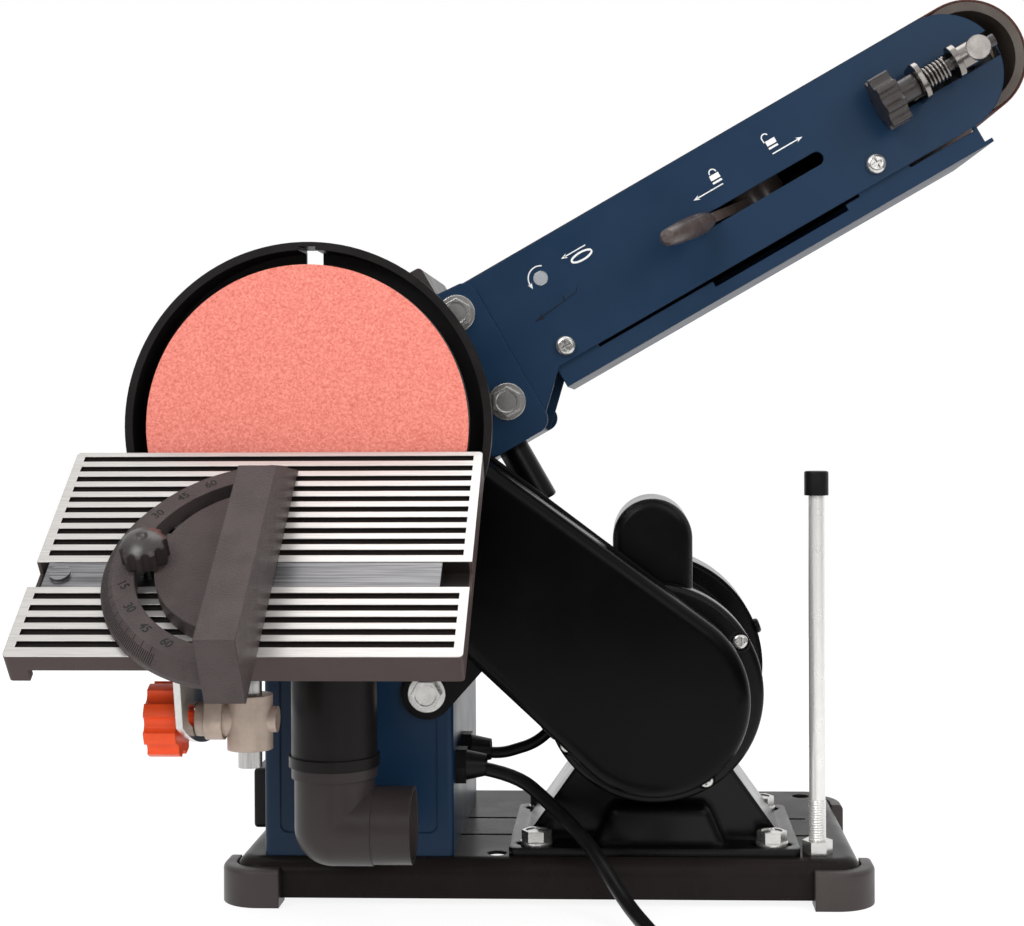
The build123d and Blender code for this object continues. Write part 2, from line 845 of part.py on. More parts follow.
# Short lead from the pillar to the motor
with BuildPart() as motor_lead:
    add(lead_tube(motor_lead_path, motor_lead_diameter))
motor_lead.part.label = "motor_lead"
export_step(motor_lead.part, "parts/motor_lead.step")

# Mains lead over the front of the base, its coil on the bench and the plug
with BuildPart() as mains_lead:
    add(lead_tube(mains_path, lead_diameter))
mains_lead.part.label = "mains_lead"
export_step(mains_lead.part, "parts/mains_lead.step")

coil_inner = coil_radius - lead_diameter / 2 - coil_slack
coil_outer = coil_widest + lead_diameter / 2 + coil_slack
coil_low = lead_rest - lead_diameter / 2 - coil_slack
coil_height = coil_pitch * (coil_layers - 1) + lead_diameter + 2 * coil_slack
with BuildPart() as mains_coil:
    with BuildSketch(Plane((coil_x, coil_y, coil_low))):
        Circle(coil_outer)
        Circle(coil_inner, mode=Mode.SUBTRACT)
    extrude(amount=coil_height)
    fillet(mains_coil.edges().filter_by(GeomType.CIRCLE), lead_diameter / 2)
    add(lead_tube(mains_path, lead_diameter), mode=Mode.SUBTRACT)
    add(lead_tube(tail_path, lead_diameter), mode=Mode.SUBTRACT)
mains_coil.part.label = "mains_coil"
export_step(mains_coil.part, "parts/mains_coil.step")

plug_way = (Vector(*tail_path[-1]) - Vector(*tail_path[-2])).normalized()
plug_start = Plane(tail_path[-1], x_dir=(plug_way.Y, -plug_way.X, 0), z_dir=plug_way)
with BuildPart() as mains_plug:
    add(lead_tube(tail_path, lead_diameter))
    with BuildSketch(plug_start):
        Circle(lead_diameter * 0.8)
    extrude(amount=plug_sleeve)
    with BuildSketch(plug_start.offset(plug_sleeve * 0.8)):
        Circle(plug_diameter / 2)
    extrude(amount=plug_length)
    fillet(mains_plug.edges().filter_by(GeomType.CIRCLE).sort_by(Edge.length)[-2:], plug_diameter * 0.12)
    with BuildSketch(plug_start.offset(plug_sleeve * 0.8 + plug_length)):
        with GridLocations(plug_pin_spacing, plug_pin_spacing, 2, 1):
            Circle(plug_pin / 2)
    extrude(amount=plug_pin_length)
mains_plug.part.label = "mains_plug"
export_step(mains_plug.part, "parts/mains_plug.step")

# Motor foot: slotted plate with a folded saddle, open at the back, cut to the motor's round
with BuildPart() as saddle_boss:
    with BuildSketch(facing(saddle_front, motor_x + saddle_boss_shift, plate_top)):
        Polygon((-saddle_boss_bottom / 2, 0), (saddle_boss_bottom / 2, 0),
                (saddle_boss_top / 2, saddle_boss_height), (-saddle_boss_top / 2, saddle_boss_height),
                align=None)
    extrude(amount=saddle_boss_depth)
    boss_front = saddle_boss.faces().sort_by(Axis.Y)[0].edges().sort_by(Axis.Z)[1:]
    boss_top = saddle_boss.faces().sort_by(Axis.Z)[-1].edges().filter_by(Axis.Y)
    fillet(boss_front + boss_top, saddle_boss_round)

with BuildPart() as motor_foot:
    with BuildSketch(Plane.XY.offset(base_top)):
        with Locations((motor_x, foot_front + foot_plate_depth / 2)):
            RectangleRounded(foot_plate_width, foot_plate_depth, foot_plate_sheet)
        with Locations(*bolt_rows):
            SlotOverall(foot_slot_length, m8 + 2 * hole_slack, mode=Mode.SUBTRACT)
    extrude(amount=foot_plate_sheet)
    with BuildSketch(facing(saddle_front, motor_x, plate_top)):
        Polygon((-saddle_bottom_width / 2, 0), (saddle_bottom_width / 2, 0),
                (saddle_top_width / 2, saddle_top - plate_top), (-saddle_top_width / 2, saddle_top - plate_top),
                align=None)
    extrude(amount=-saddle_depth)
    with BuildSketch(facing(saddle_front + saddle_wall, motor_x, plate_top)):
        Polygon((-saddle_bottom_width / 2 + saddle_wall, 0), (saddle_bottom_width / 2 - saddle_wall, 0),
                (saddle_top_width / 2 - saddle_wall, saddle_top - plate_top),
                (-saddle_top_width / 2 + saddle_wall, saddle_top - plate_top), align=None)
    extrude(amount=-saddle_depth, mode=Mode.SUBTRACT)
    add(saddle_boss.part)
    with BuildSketch(motor_plane(foot_front)):
        Circle(shell_radius)
    extrude(amount=-foot_plate_depth, mode=Mode.SUBTRACT)
motor_foot.part.label = "motor_foot"
export_step(motor_foot.part, "parts/motor_foot.step")

# Motor front shield with its bearing seat and four screws in its rim
bearing_front = motor_front + shield_length - motor_bearing_width - 2 * pillar_sheet
bearing_seat = motor_bearing_outer / 2
with BuildPart() as motor_front_shield:
    with BuildSketch(motor_plane(motor_front)):
        Circle(shield_radius)
    extrude(amount=-shield_length)
    fillet(motor_front_shield.edges().sort_by(Axis.Y)[0:1], shield_round)
    with BuildSketch(motor_plane(motor_front + shield_length)):
        Circle(shell_radius - shell_wall)
        Circle(bearing_seat + shell_wall, mode=Mode.SUBTRACT)
    extrude(amount=shield_length - 2 * shell_wall, mode=Mode.SUBTRACT)
    with BuildSketch(motor_plane(motor_front + shield_length)):
        Circle(bearing_seat)
    extrude(amount=motor_front + shield_length - bearing_front, mode=Mode.SUBTRACT)
    with BuildSketch(motor_plane(motor_front)):
        Circle(motor_shaft / 2 + body_gap)
    extrude(amount=-shield_length, mode=Mode.SUBTRACT)
    for angle in screw_angles:
        spot = (motor_x + shield_screw_circle * cos(radians(angle)), motor_front,
                motor_z + shield_screw_circle * sin(radians(angle)))
        with BuildSketch(facing(motor_front, spot[0], spot[2])):
            Circle(m8 / 2 + hole_slack)
        extrude(amount=-shield_round, mode=Mode.SUBTRACT)
        with BuildSketch(facing(motor_front + shield_round, spot[0], spot[2])):
            Circle(shield_screw / 2)
        extrude(amount=-shield_round, mode=Mode.SUBTRACT)
motor_front_shield.part.label = "motor_front_shield"
export_step(motor_front_shield.part, "parts/motor_front_shield.step")

# Motor shell with a back wall, the rear bearing seat and a flange for the cowl
rear_bearing = shell_back - shell_wall - motor_bearing_width
with BuildPart() as motor_shell:
    with BuildSketch(motor_plane(shell_front)):
        Circle(shell_radius)
        Circle(shell_radius - shell_wall, mode=Mode.SUBTRACT)
    extrude(amount=-shell_length)
    with BuildSketch(motor_plane(shell_back)):
        Circle(shell_radius - shell_wall)
    extrude(amount=shell_wall)
    with BuildSketch(motor_plane(shell_back - shell_wall)):
        Circle(bearing_seat + shell_wall)
        Circle(bearing_seat, mode=Mode.SUBTRACT)
    extrude(amount=motor_bearing_width)
    with BuildSketch(motor_plane(cowl_front)):
        Circle(cowl_radius - cowl_wall)
        Circle(shell_radius, mode=Mode.SUBTRACT)
    extrude(amount=-cowl_overlap / 2)
    with BuildSketch(motor_plane(shell_back)):
        Circle(motor_shaft / 2 + body_gap)
    extrude(amount=shell_wall, mode=Mode.SUBTRACT)
motor_shell.part.label = "motor_shell"
export_step(motor_shell.part, "parts/motor_shell.step")

# Fan cowl with a slotted back and three screws
cowl_back = cowl_front + cowl_length
with BuildPart() as fan_cowl:
    with BuildSketch(motor_plane(cowl_front)):
        Circle(cowl_radius)
    extrude(amount=-cowl_length)
    fillet(fan_cowl.edges().sort_by(Axis.Y)[-1:], cowl_round)
    offset(amount=-cowl_wall, openings=fan_cowl.faces().sort_by(Axis.Y)[0])
    with BuildSketch(motor_plane(cowl_back)):
        with PolarLocations((cowl_slot_inner + cowl_slot_outer) / 2, cowl_slots):
            SlotOverall(cowl_slot_outer - cowl_slot_inner, cowl_slot_width)
    extrude(amount=2 * cowl_wall, mode=Mode.SUBTRACT)
    for angle in cowl_screw_angles:
        way = Vector(cos(radians(angle)), 0, sin(radians(angle)))
        seat = Vector(motor_x, cowl_front + cowl_overlap / 4, motor_z) + way * (cowl_radius - body_gap)
        add(cross_screw(Plane(seat, z_dir=way), m8, m8 / 3, m8 / 4, cowl_wall - body_gap))
fan_cowl.part.label = "fan_cowl"
export_step(fan_cowl.part, "parts/fan_cowl.step")

# Stator ring and windings, pressed in the shell
stator_front = shell_front + rotor_start - (stator_length - rotor_length) / 2
with BuildPart() as stator:
    with BuildSketch(motor_plane(stator_front)):
        Circle(shell_radius - shell_wall)
        Circle(rotor_radius + rotor_air_gap, mode=Mode.SUBTRACT)
    extrude(amount=-stator_length)
    with BuildSketch(motor_plane(stator_front - winding_length)):
        Circle(winding_outer)
        Circle(winding_inner, mode=Mode.SUBTRACT)
    extrude(amount=-stator_length - 2 * winding_length)
stator.part.label = "stator"
export_step(stator.part, "parts/stator.step")

# Capacitor cover, an arched box on top of the shell
with BuildPart() as capacitor_cover:
    for shrink in (0.0, cowl_wall):
        arch = capacitor_width / 2 - shrink
        with BuildSketch(facing(capacitor_front + shrink, motor_x, motor_z)):
            with Locations((0, capacitor_top - motor_z - capacitor_width / 2)):
                Circle(arch)
            with Locations((0, (capacitor_top - motor_z - capacitor_width / 2) / 2)):
                Rectangle(2 * arch, capacitor_top - motor_z - capacitor_width / 2)
        extrude(amount=-capacitor_length + 2 * shrink, mode=Mode.SUBTRACT if shrink else Mode.ADD)
        if not shrink:
            rims = capacitor_cover.edges().filter_by(GeomType.CIRCLE)
            fillet(rims, capacitor_round)
    with BuildSketch(motor_plane(capacitor_front)):
        Circle(shell_radius)
    extrude(amount=-capacitor_length, mode=Mode.SUBTRACT)
capacitor_cover.part.label = "capacitor_cover"
export_step(capacitor_cover.part, "parts/capacitor_cover.step")

# Rotor: shaft and core
motor_shaft_front = pulley_mid_y - pulley_width / 2 - running_gap
motor_shaft_back = shell_back + cowl_overlap + fan_width
with BuildPart() as rotor:
    with BuildSketch(motor_plane(motor_shaft_front)):
        Circle(motor_shaft / 2)
    extrude(amount=motor_shaft_front - motor_shaft_back)
    with BuildSketch(motor_plane(shell_front + rotor_start)):
        Circle(rotor_radius)
    extrude(amount=-rotor_length)
rotor.part.label = "rotor"
export_step(rotor.part, "parts/rotor.step")

# Cooling fan behind the shell
with BuildPart() as cooling_fan:
    with BuildSketch(motor_plane(shell_back + cowl_overlap)):
        Circle(fan_radius)
        Circle(motor_shaft / 2, mode=Mode.SUBTRACT)
    extrude(amount=-fan_blade_thickness)
    with BuildSketch(motor_plane(shell_back + cowl_overlap)):
        Circle(fan_hub)
        with PolarLocations((fan_hub + fan_radius) / 2 - running_gap, fan_blades):
            Rectangle(fan_radius - fan_hub + fan_blade_thickness, fan_blade_thickness)
        Circle(motor_shaft / 2, mode=Mode.SUBTRACT)
    extrude(amount=-fan_width)
cooling_fan.part.label = "cooling_fan"
export_step(cooling_fan.part, "parts/cooling_fan.step")


def pulley(plane_of, radius, bore):
    # Grooved pulley in the middle of the belt guard
    with BuildPart() as wheel:
        with BuildSketch(plane_of(pulley_mid_y - pulley_width / 2)):
            Circle(radius)
            Circle(bore / 2, mode=Mode.SUBTRACT)
        extrude(amount=-pulley_width)
        with BuildSketch(plane_of(pulley_mid_y - v_belt_width / 2 - body_gap)):
            Circle(radius)
            Circle(radius - v_belt_height - 2 * body_gap, mode=Mode.SUBTRACT)
        extrude(amount=-v_belt_width - 2 * body_gap, mode=Mode.SUBTRACT)
    return wheel.part


with BuildPart() as motor_pulley:
    add(pulley(motor_plane, motor_pulley_radius, motor_shaft))
motor_pulley.part.label = "motor_pulley"
export_step(motor_pulley.part, "parts/motor_pulley.step")

with BuildPart() as spindle_pulley:
    add(pulley(spindle_plane, spindle_pulley_radius, spindle_diameter))
spindle_pulley.part.label = "spindle_pulley"
export_step(spindle_pulley.part, "parts/spindle_pulley.step")

# Drive belt round both pulleys
with BuildPart() as v_belt:
    for depth, how in ((body_gap, Mode.ADD), (body_gap + v_belt_height, Mode.SUBTRACT)):
        with BuildSketch(spindle_plane(pulley_mid_y - v_belt_width / 2)):
            Circle(spindle_pulley_radius - depth)
            with Locations((drive_dx, drive_dz)):
                Circle(motor_pulley_radius - depth)
            make_hull()
        extrude(amount=-v_belt_width, mode=how)
v_belt.part.label = "v_belt"
export_step(v_belt.part, "parts/v_belt.step")

# Back plate of the belt guard, with an ear bolted to the pillar
boss_places = [(drive_dx * share, drive_dz * share) for share in (0.42, 0.6)]
plate_grow = 3.5
with BuildPart() as belt_guard_plate:
    with BuildSketch(spindle_plane(guard_plate_y)):
        Circle(cover_spindle_radius + plate_grow)
        with Locations((drive_dx, drive_dz)):
            Circle(cover_motor_radius)
        make_hull()
        with Locations((ear_x, ear_z - spindle_z)):
            Circle(ear_radius)
        with BuildSketch(mode=Mode.PRIVATE) as ear_arm:
            with Locations((ear_x, ear_z - spindle_z)):
                Circle(ear_radius)
            with Locations((drive_dx * 0.6, drive_dz * 0.6)):
                Circle(ear_radius)
            make_hull()
        add(ear_arm.sketch)
        Circle(housing_flange / 2 + body_gap, mode=Mode.SUBTRACT)
        with Locations((drive_dx, drive_dz)):
            Circle(motor_bearing_outer / 2, mode=Mode.SUBTRACT)
        with Locations((ear_x, ear_z - spindle_z)):
            Circle(m8 / 2 + hole_slack, mode=Mode.SUBTRACT)
        with Locations(*boss_places):
            Circle(cover_screw_shank / 2 + hole_slack, mode=Mode.SUBTRACT)
    extrude(amount=-guard_plate_thickness)
belt_guard_plate.part.label = "belt_guard_plate"
export_step(belt_guard_plate.part, "parts/belt_guard_plate.step")

# Belt guard cover: a rounded shell over both pulleys
boss_radius = 4.5
with BuildPart() as belt_guard_cover:
    with BuildSketch(spindle_plane(cover_front_y)):
        Circle(cover_spindle_radius)
        with Locations((drive_dx, drive_dz)):
            Circle(cover_motor_radius)
        make_hull()
    extrude(amount=-cover_depth)
    fillet(belt_guard_cover.faces().sort_by(Axis.Y)[0].edges(), cover_round)
    offset(amount=-cover_wall, openings=belt_guard_cover.faces().sort_by(Axis.Y)[-1])
    with BuildSketch(spindle_plane(cover_front_y + cover_wall / 2)):
        with Locations(*boss_places):
            Circle(boss_radius)
    extrude(amount=-cover_depth + cover_wall / 2)
    with BuildSketch(spindle_plane(guard_plate_y)):
        with Locations(*boss_places):
            Circle(cover_screw_shank / 2)
    extrude(amount=cover_depth / 2, mode=Mode.SUBTRACT)
    with BuildSketch(spindle_plane(cover_front_y)):
        Circle(cover_hub_hole / 2)
    extrude(amount=-cover_depth, mode=Mode.SUBTRACT)
belt_guard_cover.part.label = "belt_guard_cover"
export_step(belt_guard_cover.part, "parts/belt_guard_cover.step")

# Bolt through the ear and two screws that hold the cover from behind
with BuildPart() as guard_fasteners:
    add(hex_bolt(facing(guard_plate_y, ear_x + spindle_x, ear_z), m8_flats, m8_head, m8,
                 guard_plate_thickness + pillar_sheet + m8_nut, flange=lock_flange))
    with BuildSketch(facing(pillar_front + pillar_sheet, ear_x + spindle_x, ear_z)):
        RegularPolygon(m8_flats / 2, 6, major_radius=False)
    extrude(amount=-m8_nut)
    for place in boss_places:
        back_spot = (spindle_x + place[0], pillar_front, spindle_z + place[1])
        back = Plane(back_spot, x_dir=(-1, 0, 0), z_dir=(0, 1, 0))
        add(cross_screw(back, m8, m8 / 3, cover_screw_shank, cover_depth / 2))
    for angle in screw_angles:
        shield_seat = facing(motor_front + shield_round, motor_x + shield_screw_circle * cos(radians(angle)),
                             motor_z + shield_screw_circle * sin(radians(angle)))
        add(cross_screw(shield_seat, m8, shield_round * 0.95, shield_screw, shield_round))
guard_fasteners.part.label = "guard_fasteners"
export_step(guard_fasteners.part, "parts/guard_fasteners.step")

# Spindle shaft through both cheeks
disc_back_y = disc_face_y + abrasive_sheet + disc_plate_thickness
spindle_front = disc_back_y - disc_plate_thickness / 2
spindle_back = pillar_back + housing_flange_sheet
with BuildPart() as spindle_shaft:
    with BuildSketch(spindle_plane(spindle_front)):
        Circle(spindle_diameter / 2)
    extrude(amount=spindle_front - spindle_back)
spindle_shaft.part.label = "spindle_shaft"
export_step(spindle_shaft.part, "parts/spindle_shaft.step")

# Sanding disc plate with its hub, and the abrasive sheet stuck on it
with BuildPart() as disc_plate:
    with BuildSketch(spindle_plane(disc_face_y + abrasive_sheet)):
        Circle(disc_diameter / 2)
    extrude(amount=-disc_plate_thickness)
    with BuildSketch(spindle_plane(disc_back_y)):
        Circle(disc_hub_diameter / 2)
    extrude(amount=-disc_hub_length)
    with BuildSketch(spindle_plane(spindle_front)):
        Circle(spindle_diameter / 2)
    extrude(amount=-disc_hub_length - disc_plate_thickness, mode=Mode.SUBTRACT)
disc_plate.part.label = "disc_plate"
export_step(disc_plate.part, "parts/disc_plate.step")

with BuildPart() as abrasive_disc:
    with BuildSketch(spindle_plane(disc_face_y)):
        Circle(disc_diameter / 2)
    extrude(amount=-abrasive_sheet)
abrasive_disc.part.label = "abrasive_disc"
export_step(abrasive_disc.part, "parts/abrasive_disc.step")


def roller(plane, bore):
    # Belt roller, lightened from both ends
    rim = 4.5
    hub = 13.0
    relief = 34.0
    length = belt_width + 1.0
    with BuildPart() as drum:
        with BuildSketch(plane):
            Circle(roller_radius)
            Circle(bore / 2, mode=Mode.SUBTRACT)
        extrude(amount=-length)
        with BuildSketch(plane, plane.offset(relief - length)):
            Circle(roller_radius - rim)
            Circle(hub, mode=Mode.SUBTRACT)
        extrude(amount=-relief, mode=Mode.SUBTRACT)
    return drum.part


roller_front_y = belt_front_y - 0.5
with BuildPart() as drive_drum:
    add(roller(spindle_plane(roller_front_y), spindle_diameter))
drive_drum.part.label = "drive_drum"
export_step(drive_drum.part, "parts/drive_drum.step")

# Bearing housings: flange outside each cheek, and a spigot inside that the arm turns on
front_spigot_end = arm_front_y + 3.0
rear_spigot_end = arm_back_y - 4.5
with BuildPart() as bearing_housings:
    with BuildSketch(spindle_plane(guard_plate_y)):
        Circle(housing_flange / 2)
    extrude(amount=-housing_flange_sheet)
    with BuildSketch(spindle_plane(pillar_front)):
        Circle(housing_outer / 2)
    extrude(amount=pillar_front - front_spigot_end)
    with BuildSketch(spindle_plane(pillar_back)):
        Circle(housing_flange / 2)
    extrude(amount=-housing_flange_sheet)
    with BuildSketch(spindle_plane(rear_spigot_end)):
        Circle(housing_outer / 2)
    extrude(amount=rear_spigot_end - pillar_back)
    with BuildSketch(spindle_plane(pillar_front), spindle_plane(pillar_back - bearing_width)):
        Circle(bearing_outer / 2)
    extrude(amount=-bearing_width, mode=Mode.SUBTRACT)
    with BuildSketch(spindle_plane(guard_plate_y)):
        Circle(spindle_diameter / 2 + body_gap)
    extrude(amount=guard_plate_y - spindle_back - pillar_sheet, mode=Mode.SUBTRACT)
bearing_housings.part.label = "bearing_housings"
export_step(bearing_housings.part, "parts/bearing_housings.step")

# Ball bearings of the spindle and of the motor
with BuildPart() as ball_bearings:
    with BuildSketch(spindle_plane(pillar_front), spindle_plane(pillar_back - bearing_width)):
        Circle(bearing_outer / 2)
        Circle(spindle_diameter / 2 + running_gap, mode=Mode.SUBTRACT)
    extrude(amount=-bearing_width)
    with BuildSketch(motor_plane(bearing_front), motor_plane(rear_bearing)):
        Circle(motor_bearing_outer / 2)
        Circle(motor_shaft / 2 + running_gap, mode=Mode.SUBTRACT)
    extrude(amount=-motor_bearing_width)
ball_bearings.part.label = "ball_bearings"
export_step(ball_bearings.part, "parts/ball_bearings.step")

def throat(pipe_radius, wall):
    # Passage from the round pipe to the bottom of the cup
    with BuildPart() as passage:
        with BuildSketch(Plane.XY.offset(pipe_taper_top)):
            with Locations((pipe_x, pipe_y)):
                Circle(pipe_radius)
        with BuildSketch(Plane.XY.offset(throat_top)):
            with Locations((pipe_x, guard_mid_y)):
                RectangleRounded(throat_width - 2 * wall, guard_depth - 2 * throat_inset - 2 * wall,
                                 throat_corner - wall)
        loft()
        with BuildSketch(Plane.XY.offset(pipe_bottom)):
            with Locations((pipe_x, pipe_y)):
                Circle(pipe_radius)
        extrude(amount=pipe_taper_top - pipe_bottom)
    return passage.part


# Disc guard: a cup behind the disc with two posts to the pillar, a throat and a dust pipe
guard_mid_y = guard_rim_y + guard_depth / 2
pipe_bore = elbow_diameter / 2 + pipe_slip
with BuildPart() as disc_guard:
    with BuildSketch(spindle_plane(guard_rim_y)):
        Circle(guard_outer_radius)
    extrude(amount=-guard_depth)
    fillet(disc_guard.edges().sort_by(Axis.Y)[-1:], guard_wall)
    with BuildSketch(spindle_plane(guard_rim_y)):
        Circle(guard_outer_radius + guard_rim_lip)
    extrude(amount=-guard_wall)
    add(throat(pipe_diameter / 2, 0.0))
    with BuildSketch(Plane.XY.offset(pipe_bottom)):
        with Locations((pipe_x, pipe_y)):
            Circle(pipe_diameter / 2 + collar_proud)
    extrude(amount=collar_height)
    with BuildSketch(spindle_plane(guard_back_y)):
        with Locations(*guard_posts):
            Circle(guard_post_diameter / 2)
    extrude(amount=guard_back_y - pillar_front)
    with BuildSketch(spindle_plane(guard_rim_y)):
        Circle(guard_outer_radius - guard_wall)
    extrude(amount=-guard_depth + guard_wall, mode=Mode.SUBTRACT)
    add(throat(pipe_bore, guard_wall), mode=Mode.SUBTRACT)
    with BuildSketch(spindle_plane(guard_rim_y)):
        Circle(guard_hub_hole / 2)
        with Locations((0, guard_notch_inner + guard_notch_width / 2)):
            Rectangle(guard_notch_width, guard_notch_width)
    extrude(amount=-guard_depth, mode=Mode.SUBTRACT)
disc_guard.part.label = "disc_guard"
export_step(disc_guard.part, "parts/disc_guard.step")

# Dust elbow in the end of the pipe
elbow_outer = elbow_diameter / 2
elbow_body = elbow_outer + elbow_swell
collar_middle = pipe_bottom - body_gap - collar_height / 2
elbow_legs = ((elbow_body, collar_middle - elbow_axis_z, elbow_reach - elbow_spigot, Mode.ADD),
              (elbow_outer, elbow_top - elbow_axis_z, elbow_reach, Mode.ADD),
              (elbow_outer - elbow_wall, elbow_top - elbow_axis_z, elbow_reach, Mode.SUBTRACT))
with BuildPart() as dust_elbow:
    for radius, leg_up, leg_out, way in elbow_legs:
        with BuildSketch(Plane.XY.offset(elbow_axis_z)):
            with Locations((pipe_x, pipe_y)):
                Circle(radius)
        extrude(amount=leg_up, mode=way)
        with BuildSketch(Plane.YZ.offset(pipe_x)):
            with Locations((pipe_y, elbow_axis_z)):
                Circle(radius)
        extrude(amount=leg_out, mode=way)
        with Locations((pipe_x, pipe_y, elbow_axis_z)):
            Sphere(radius, mode=way)
    with BuildSketch(Plane.XY.offset(pipe_bottom - body_gap)):
        with Locations((pipe_x, pipe_y)):
            Circle(pipe_diameter / 2)
            Circle(elbow_diameter / 2 - elbow_wall / 2, mode=Mode.SUBTRACT)
    extrude(amount=-collar_height)
dust_elbow.part.label = "dust_elbow"
export_step(dust_elbow.part, "parts/dust_elbow.step")

# Stop rod with a rubber cap
with BuildPart() as stop_rod:
    with BuildSketch(Plane((rod_x, rod_y, base_top - base_sheet - m8_nut))):
        Circle(rod_diameter / 2)
    extrude(amount=rod_top - rod_cap_cover - base_top + base_sheet + m8_nut)
stop_rod.part.label = "stop_rod"
export_step(stop_rod.part, "parts/stop_rod.step")

with BuildPart() as stop_rod_cap:
    with BuildSketch(Plane((rod_x, rod_y, rod_top - rod_cap_length))):
        Circle(rod_cap_diameter / 2)
    extrude(amount=rod_cap_length)
    fillet(stop_rod_cap.edges().sort_by(Axis.Z)[-1:], rod_cap_cover / 2)
    with BuildSketch(Plane((rod_x, rod_y, rod_top - rod_cap_length))):
        Circle(rod_diameter / 2)
    extrude(amount=rod_cap_length - rod_cap_cover, mode=Mode.SUBTRACT)
stop_rod_cap.part.label = "stop_rod_cap"
export_step(stop_rod_cap.part, "parts/stop_rod_cap.step")

# Arm channel: two side plates, the platen under the belt, a bridge at the root and a web for the lever
arm_top = belt_inner
tip_radius = (arm_top - arm_low) / 2
tip_level = (arm_top + arm_low) / 2
hub_low = lever_level - lever_hub_height / 2
hub_high = lever_level + lever_hub_height / 2
web_top = hub_low - running_gap
with BuildPart() as arm_channel:
    for side_y in (arm_front_y, arm_inner_back_y):
        with BuildSketch(arm_plane(side_y)):
            with BuildLine():
                Polyline((tip_centre, arm_top), (arm_root_start, arm_top), (arm_root_start, arm_root_low),
                         (arm_root_corner, arm_root_low), (arm_notch, arm_low), (tip_centre, arm_low))
                ThreePointArc((tip_centre, arm_low), (tip_centre + tip_radius, tip_level),
                              (tip_centre, arm_top))
            make_face()
            with Locations((fork_start + tip_radius, 0)):
                Rectangle(2 * tip_radius, fork_slot, mode=Mode.SUBTRACT)
            with Locations(*lock_bolts):
                Circle(lock_shank / 2 + hole_slack, mode=Mode.SUBTRACT)
            with Locations(*cover_screw_places):
                Circle(cover_screw_shank / 2 + hole_slack, mode=Mode.SUBTRACT)
            if side_y == arm_front_y:
                with Locations(((slot_start + slot_end) / 2, lever_level)):
                    SlotOverall(slot_end - slot_start, slot_width, mode=Mode.SUBTRACT)
        extrude(amount=-arm_sheet)
    with BuildSketch(arm_plane(arm_inner_y)):
        with Locations(((bridge_end + platen_end) / 2, arm_top - platen_sheet / 2)):
            Rectangle(platen_end - bridge_end, platen_sheet)
        with Locations(((bridge_start + bridge_end) / 2, arm_root_low + bridge_sheet / 2)):
            Rectangle(bridge_end - bridge_start, bridge_sheet)
        with Locations((lever_place, web_top - web_sheet / 2)):
            Rectangle(web_width, web_sheet)
    extrude(amount=arm_inner_y - arm_inner_back_y)
    with BuildSketch(above_arm(lever_place, web_top, lever_y)):
        Circle(lever_pin / 2)
    extrude(amount=lever_hub_height + 2 * running_gap + web_sheet)
    with BuildSketch(above_arm(lever_place, hub_high + running_gap, lever_y)):
        Circle(lever_pin * 0.8)
    extrude(amount=web_sheet)
arm_channel.part.label = "arm_channel"
export_step(arm_channel.part, "parts/arm_channel.step")

# Root plates outside the channel, each with a ring that turns on a bearing housing
with BuildPart() as arm_root_plates:
    for plate_y in (root_front_y, arm_back_y):
        with BuildSketch(arm_plane(plate_y)):
            Circle(root_hub_radius)
            with Locations((root_edge - root_hub_radius / 2, (root_top + arm_root_low) / 2)):
                RectangleRounded(root_hub_radius, root_top - arm_root_low, root_corner_round)
            make_hull()
            Circle(housing_outer / 2 + running_gap, mode=Mode.SUBTRACT)
            with Locations(*lock_bolts):
                Circle(lock_shank / 2 + hole_slack, mode=Mode.SUBTRACT)
        extrude(amount=-root_sheet)
arm_root_plates.part.label = "arm_root_plates"
export_step(arm_root_plates.part, "parts/arm_root_plates.step")

# Flange bolts that hold the root plates to the channel, with nuts inside
bolt_nut = 5.0
with BuildPart() as arm_bolts:
    for along, level in lock_bolts:
        front_seat = arm_plane(root_front_y).offset(0)
        front_seat.origin = arm_point(along, level, root_front_y)
        rear_seat = Plane(arm_point(along, level, root_back_y), x_dir=tuple(arm_out), z_dir=(0, 1, 0))
        for seat in (front_seat, rear_seat):
            add(hex_bolt(seat, lock_head_flats, lock_head, lock_shank, root_sheet + arm_sheet + bolt_nut,
                         flange=lock_flange))
            with BuildSketch(seat.offset(-root_sheet - arm_sheet)):
                RegularPolygon(lock_head_flats / 2, 6, major_radius=False)
            extrude(amount=-bolt_nut)
arm_bolts.part.label = "arm_bolts"
export_step(arm_bolts.part, "parts/arm_bolts.step")

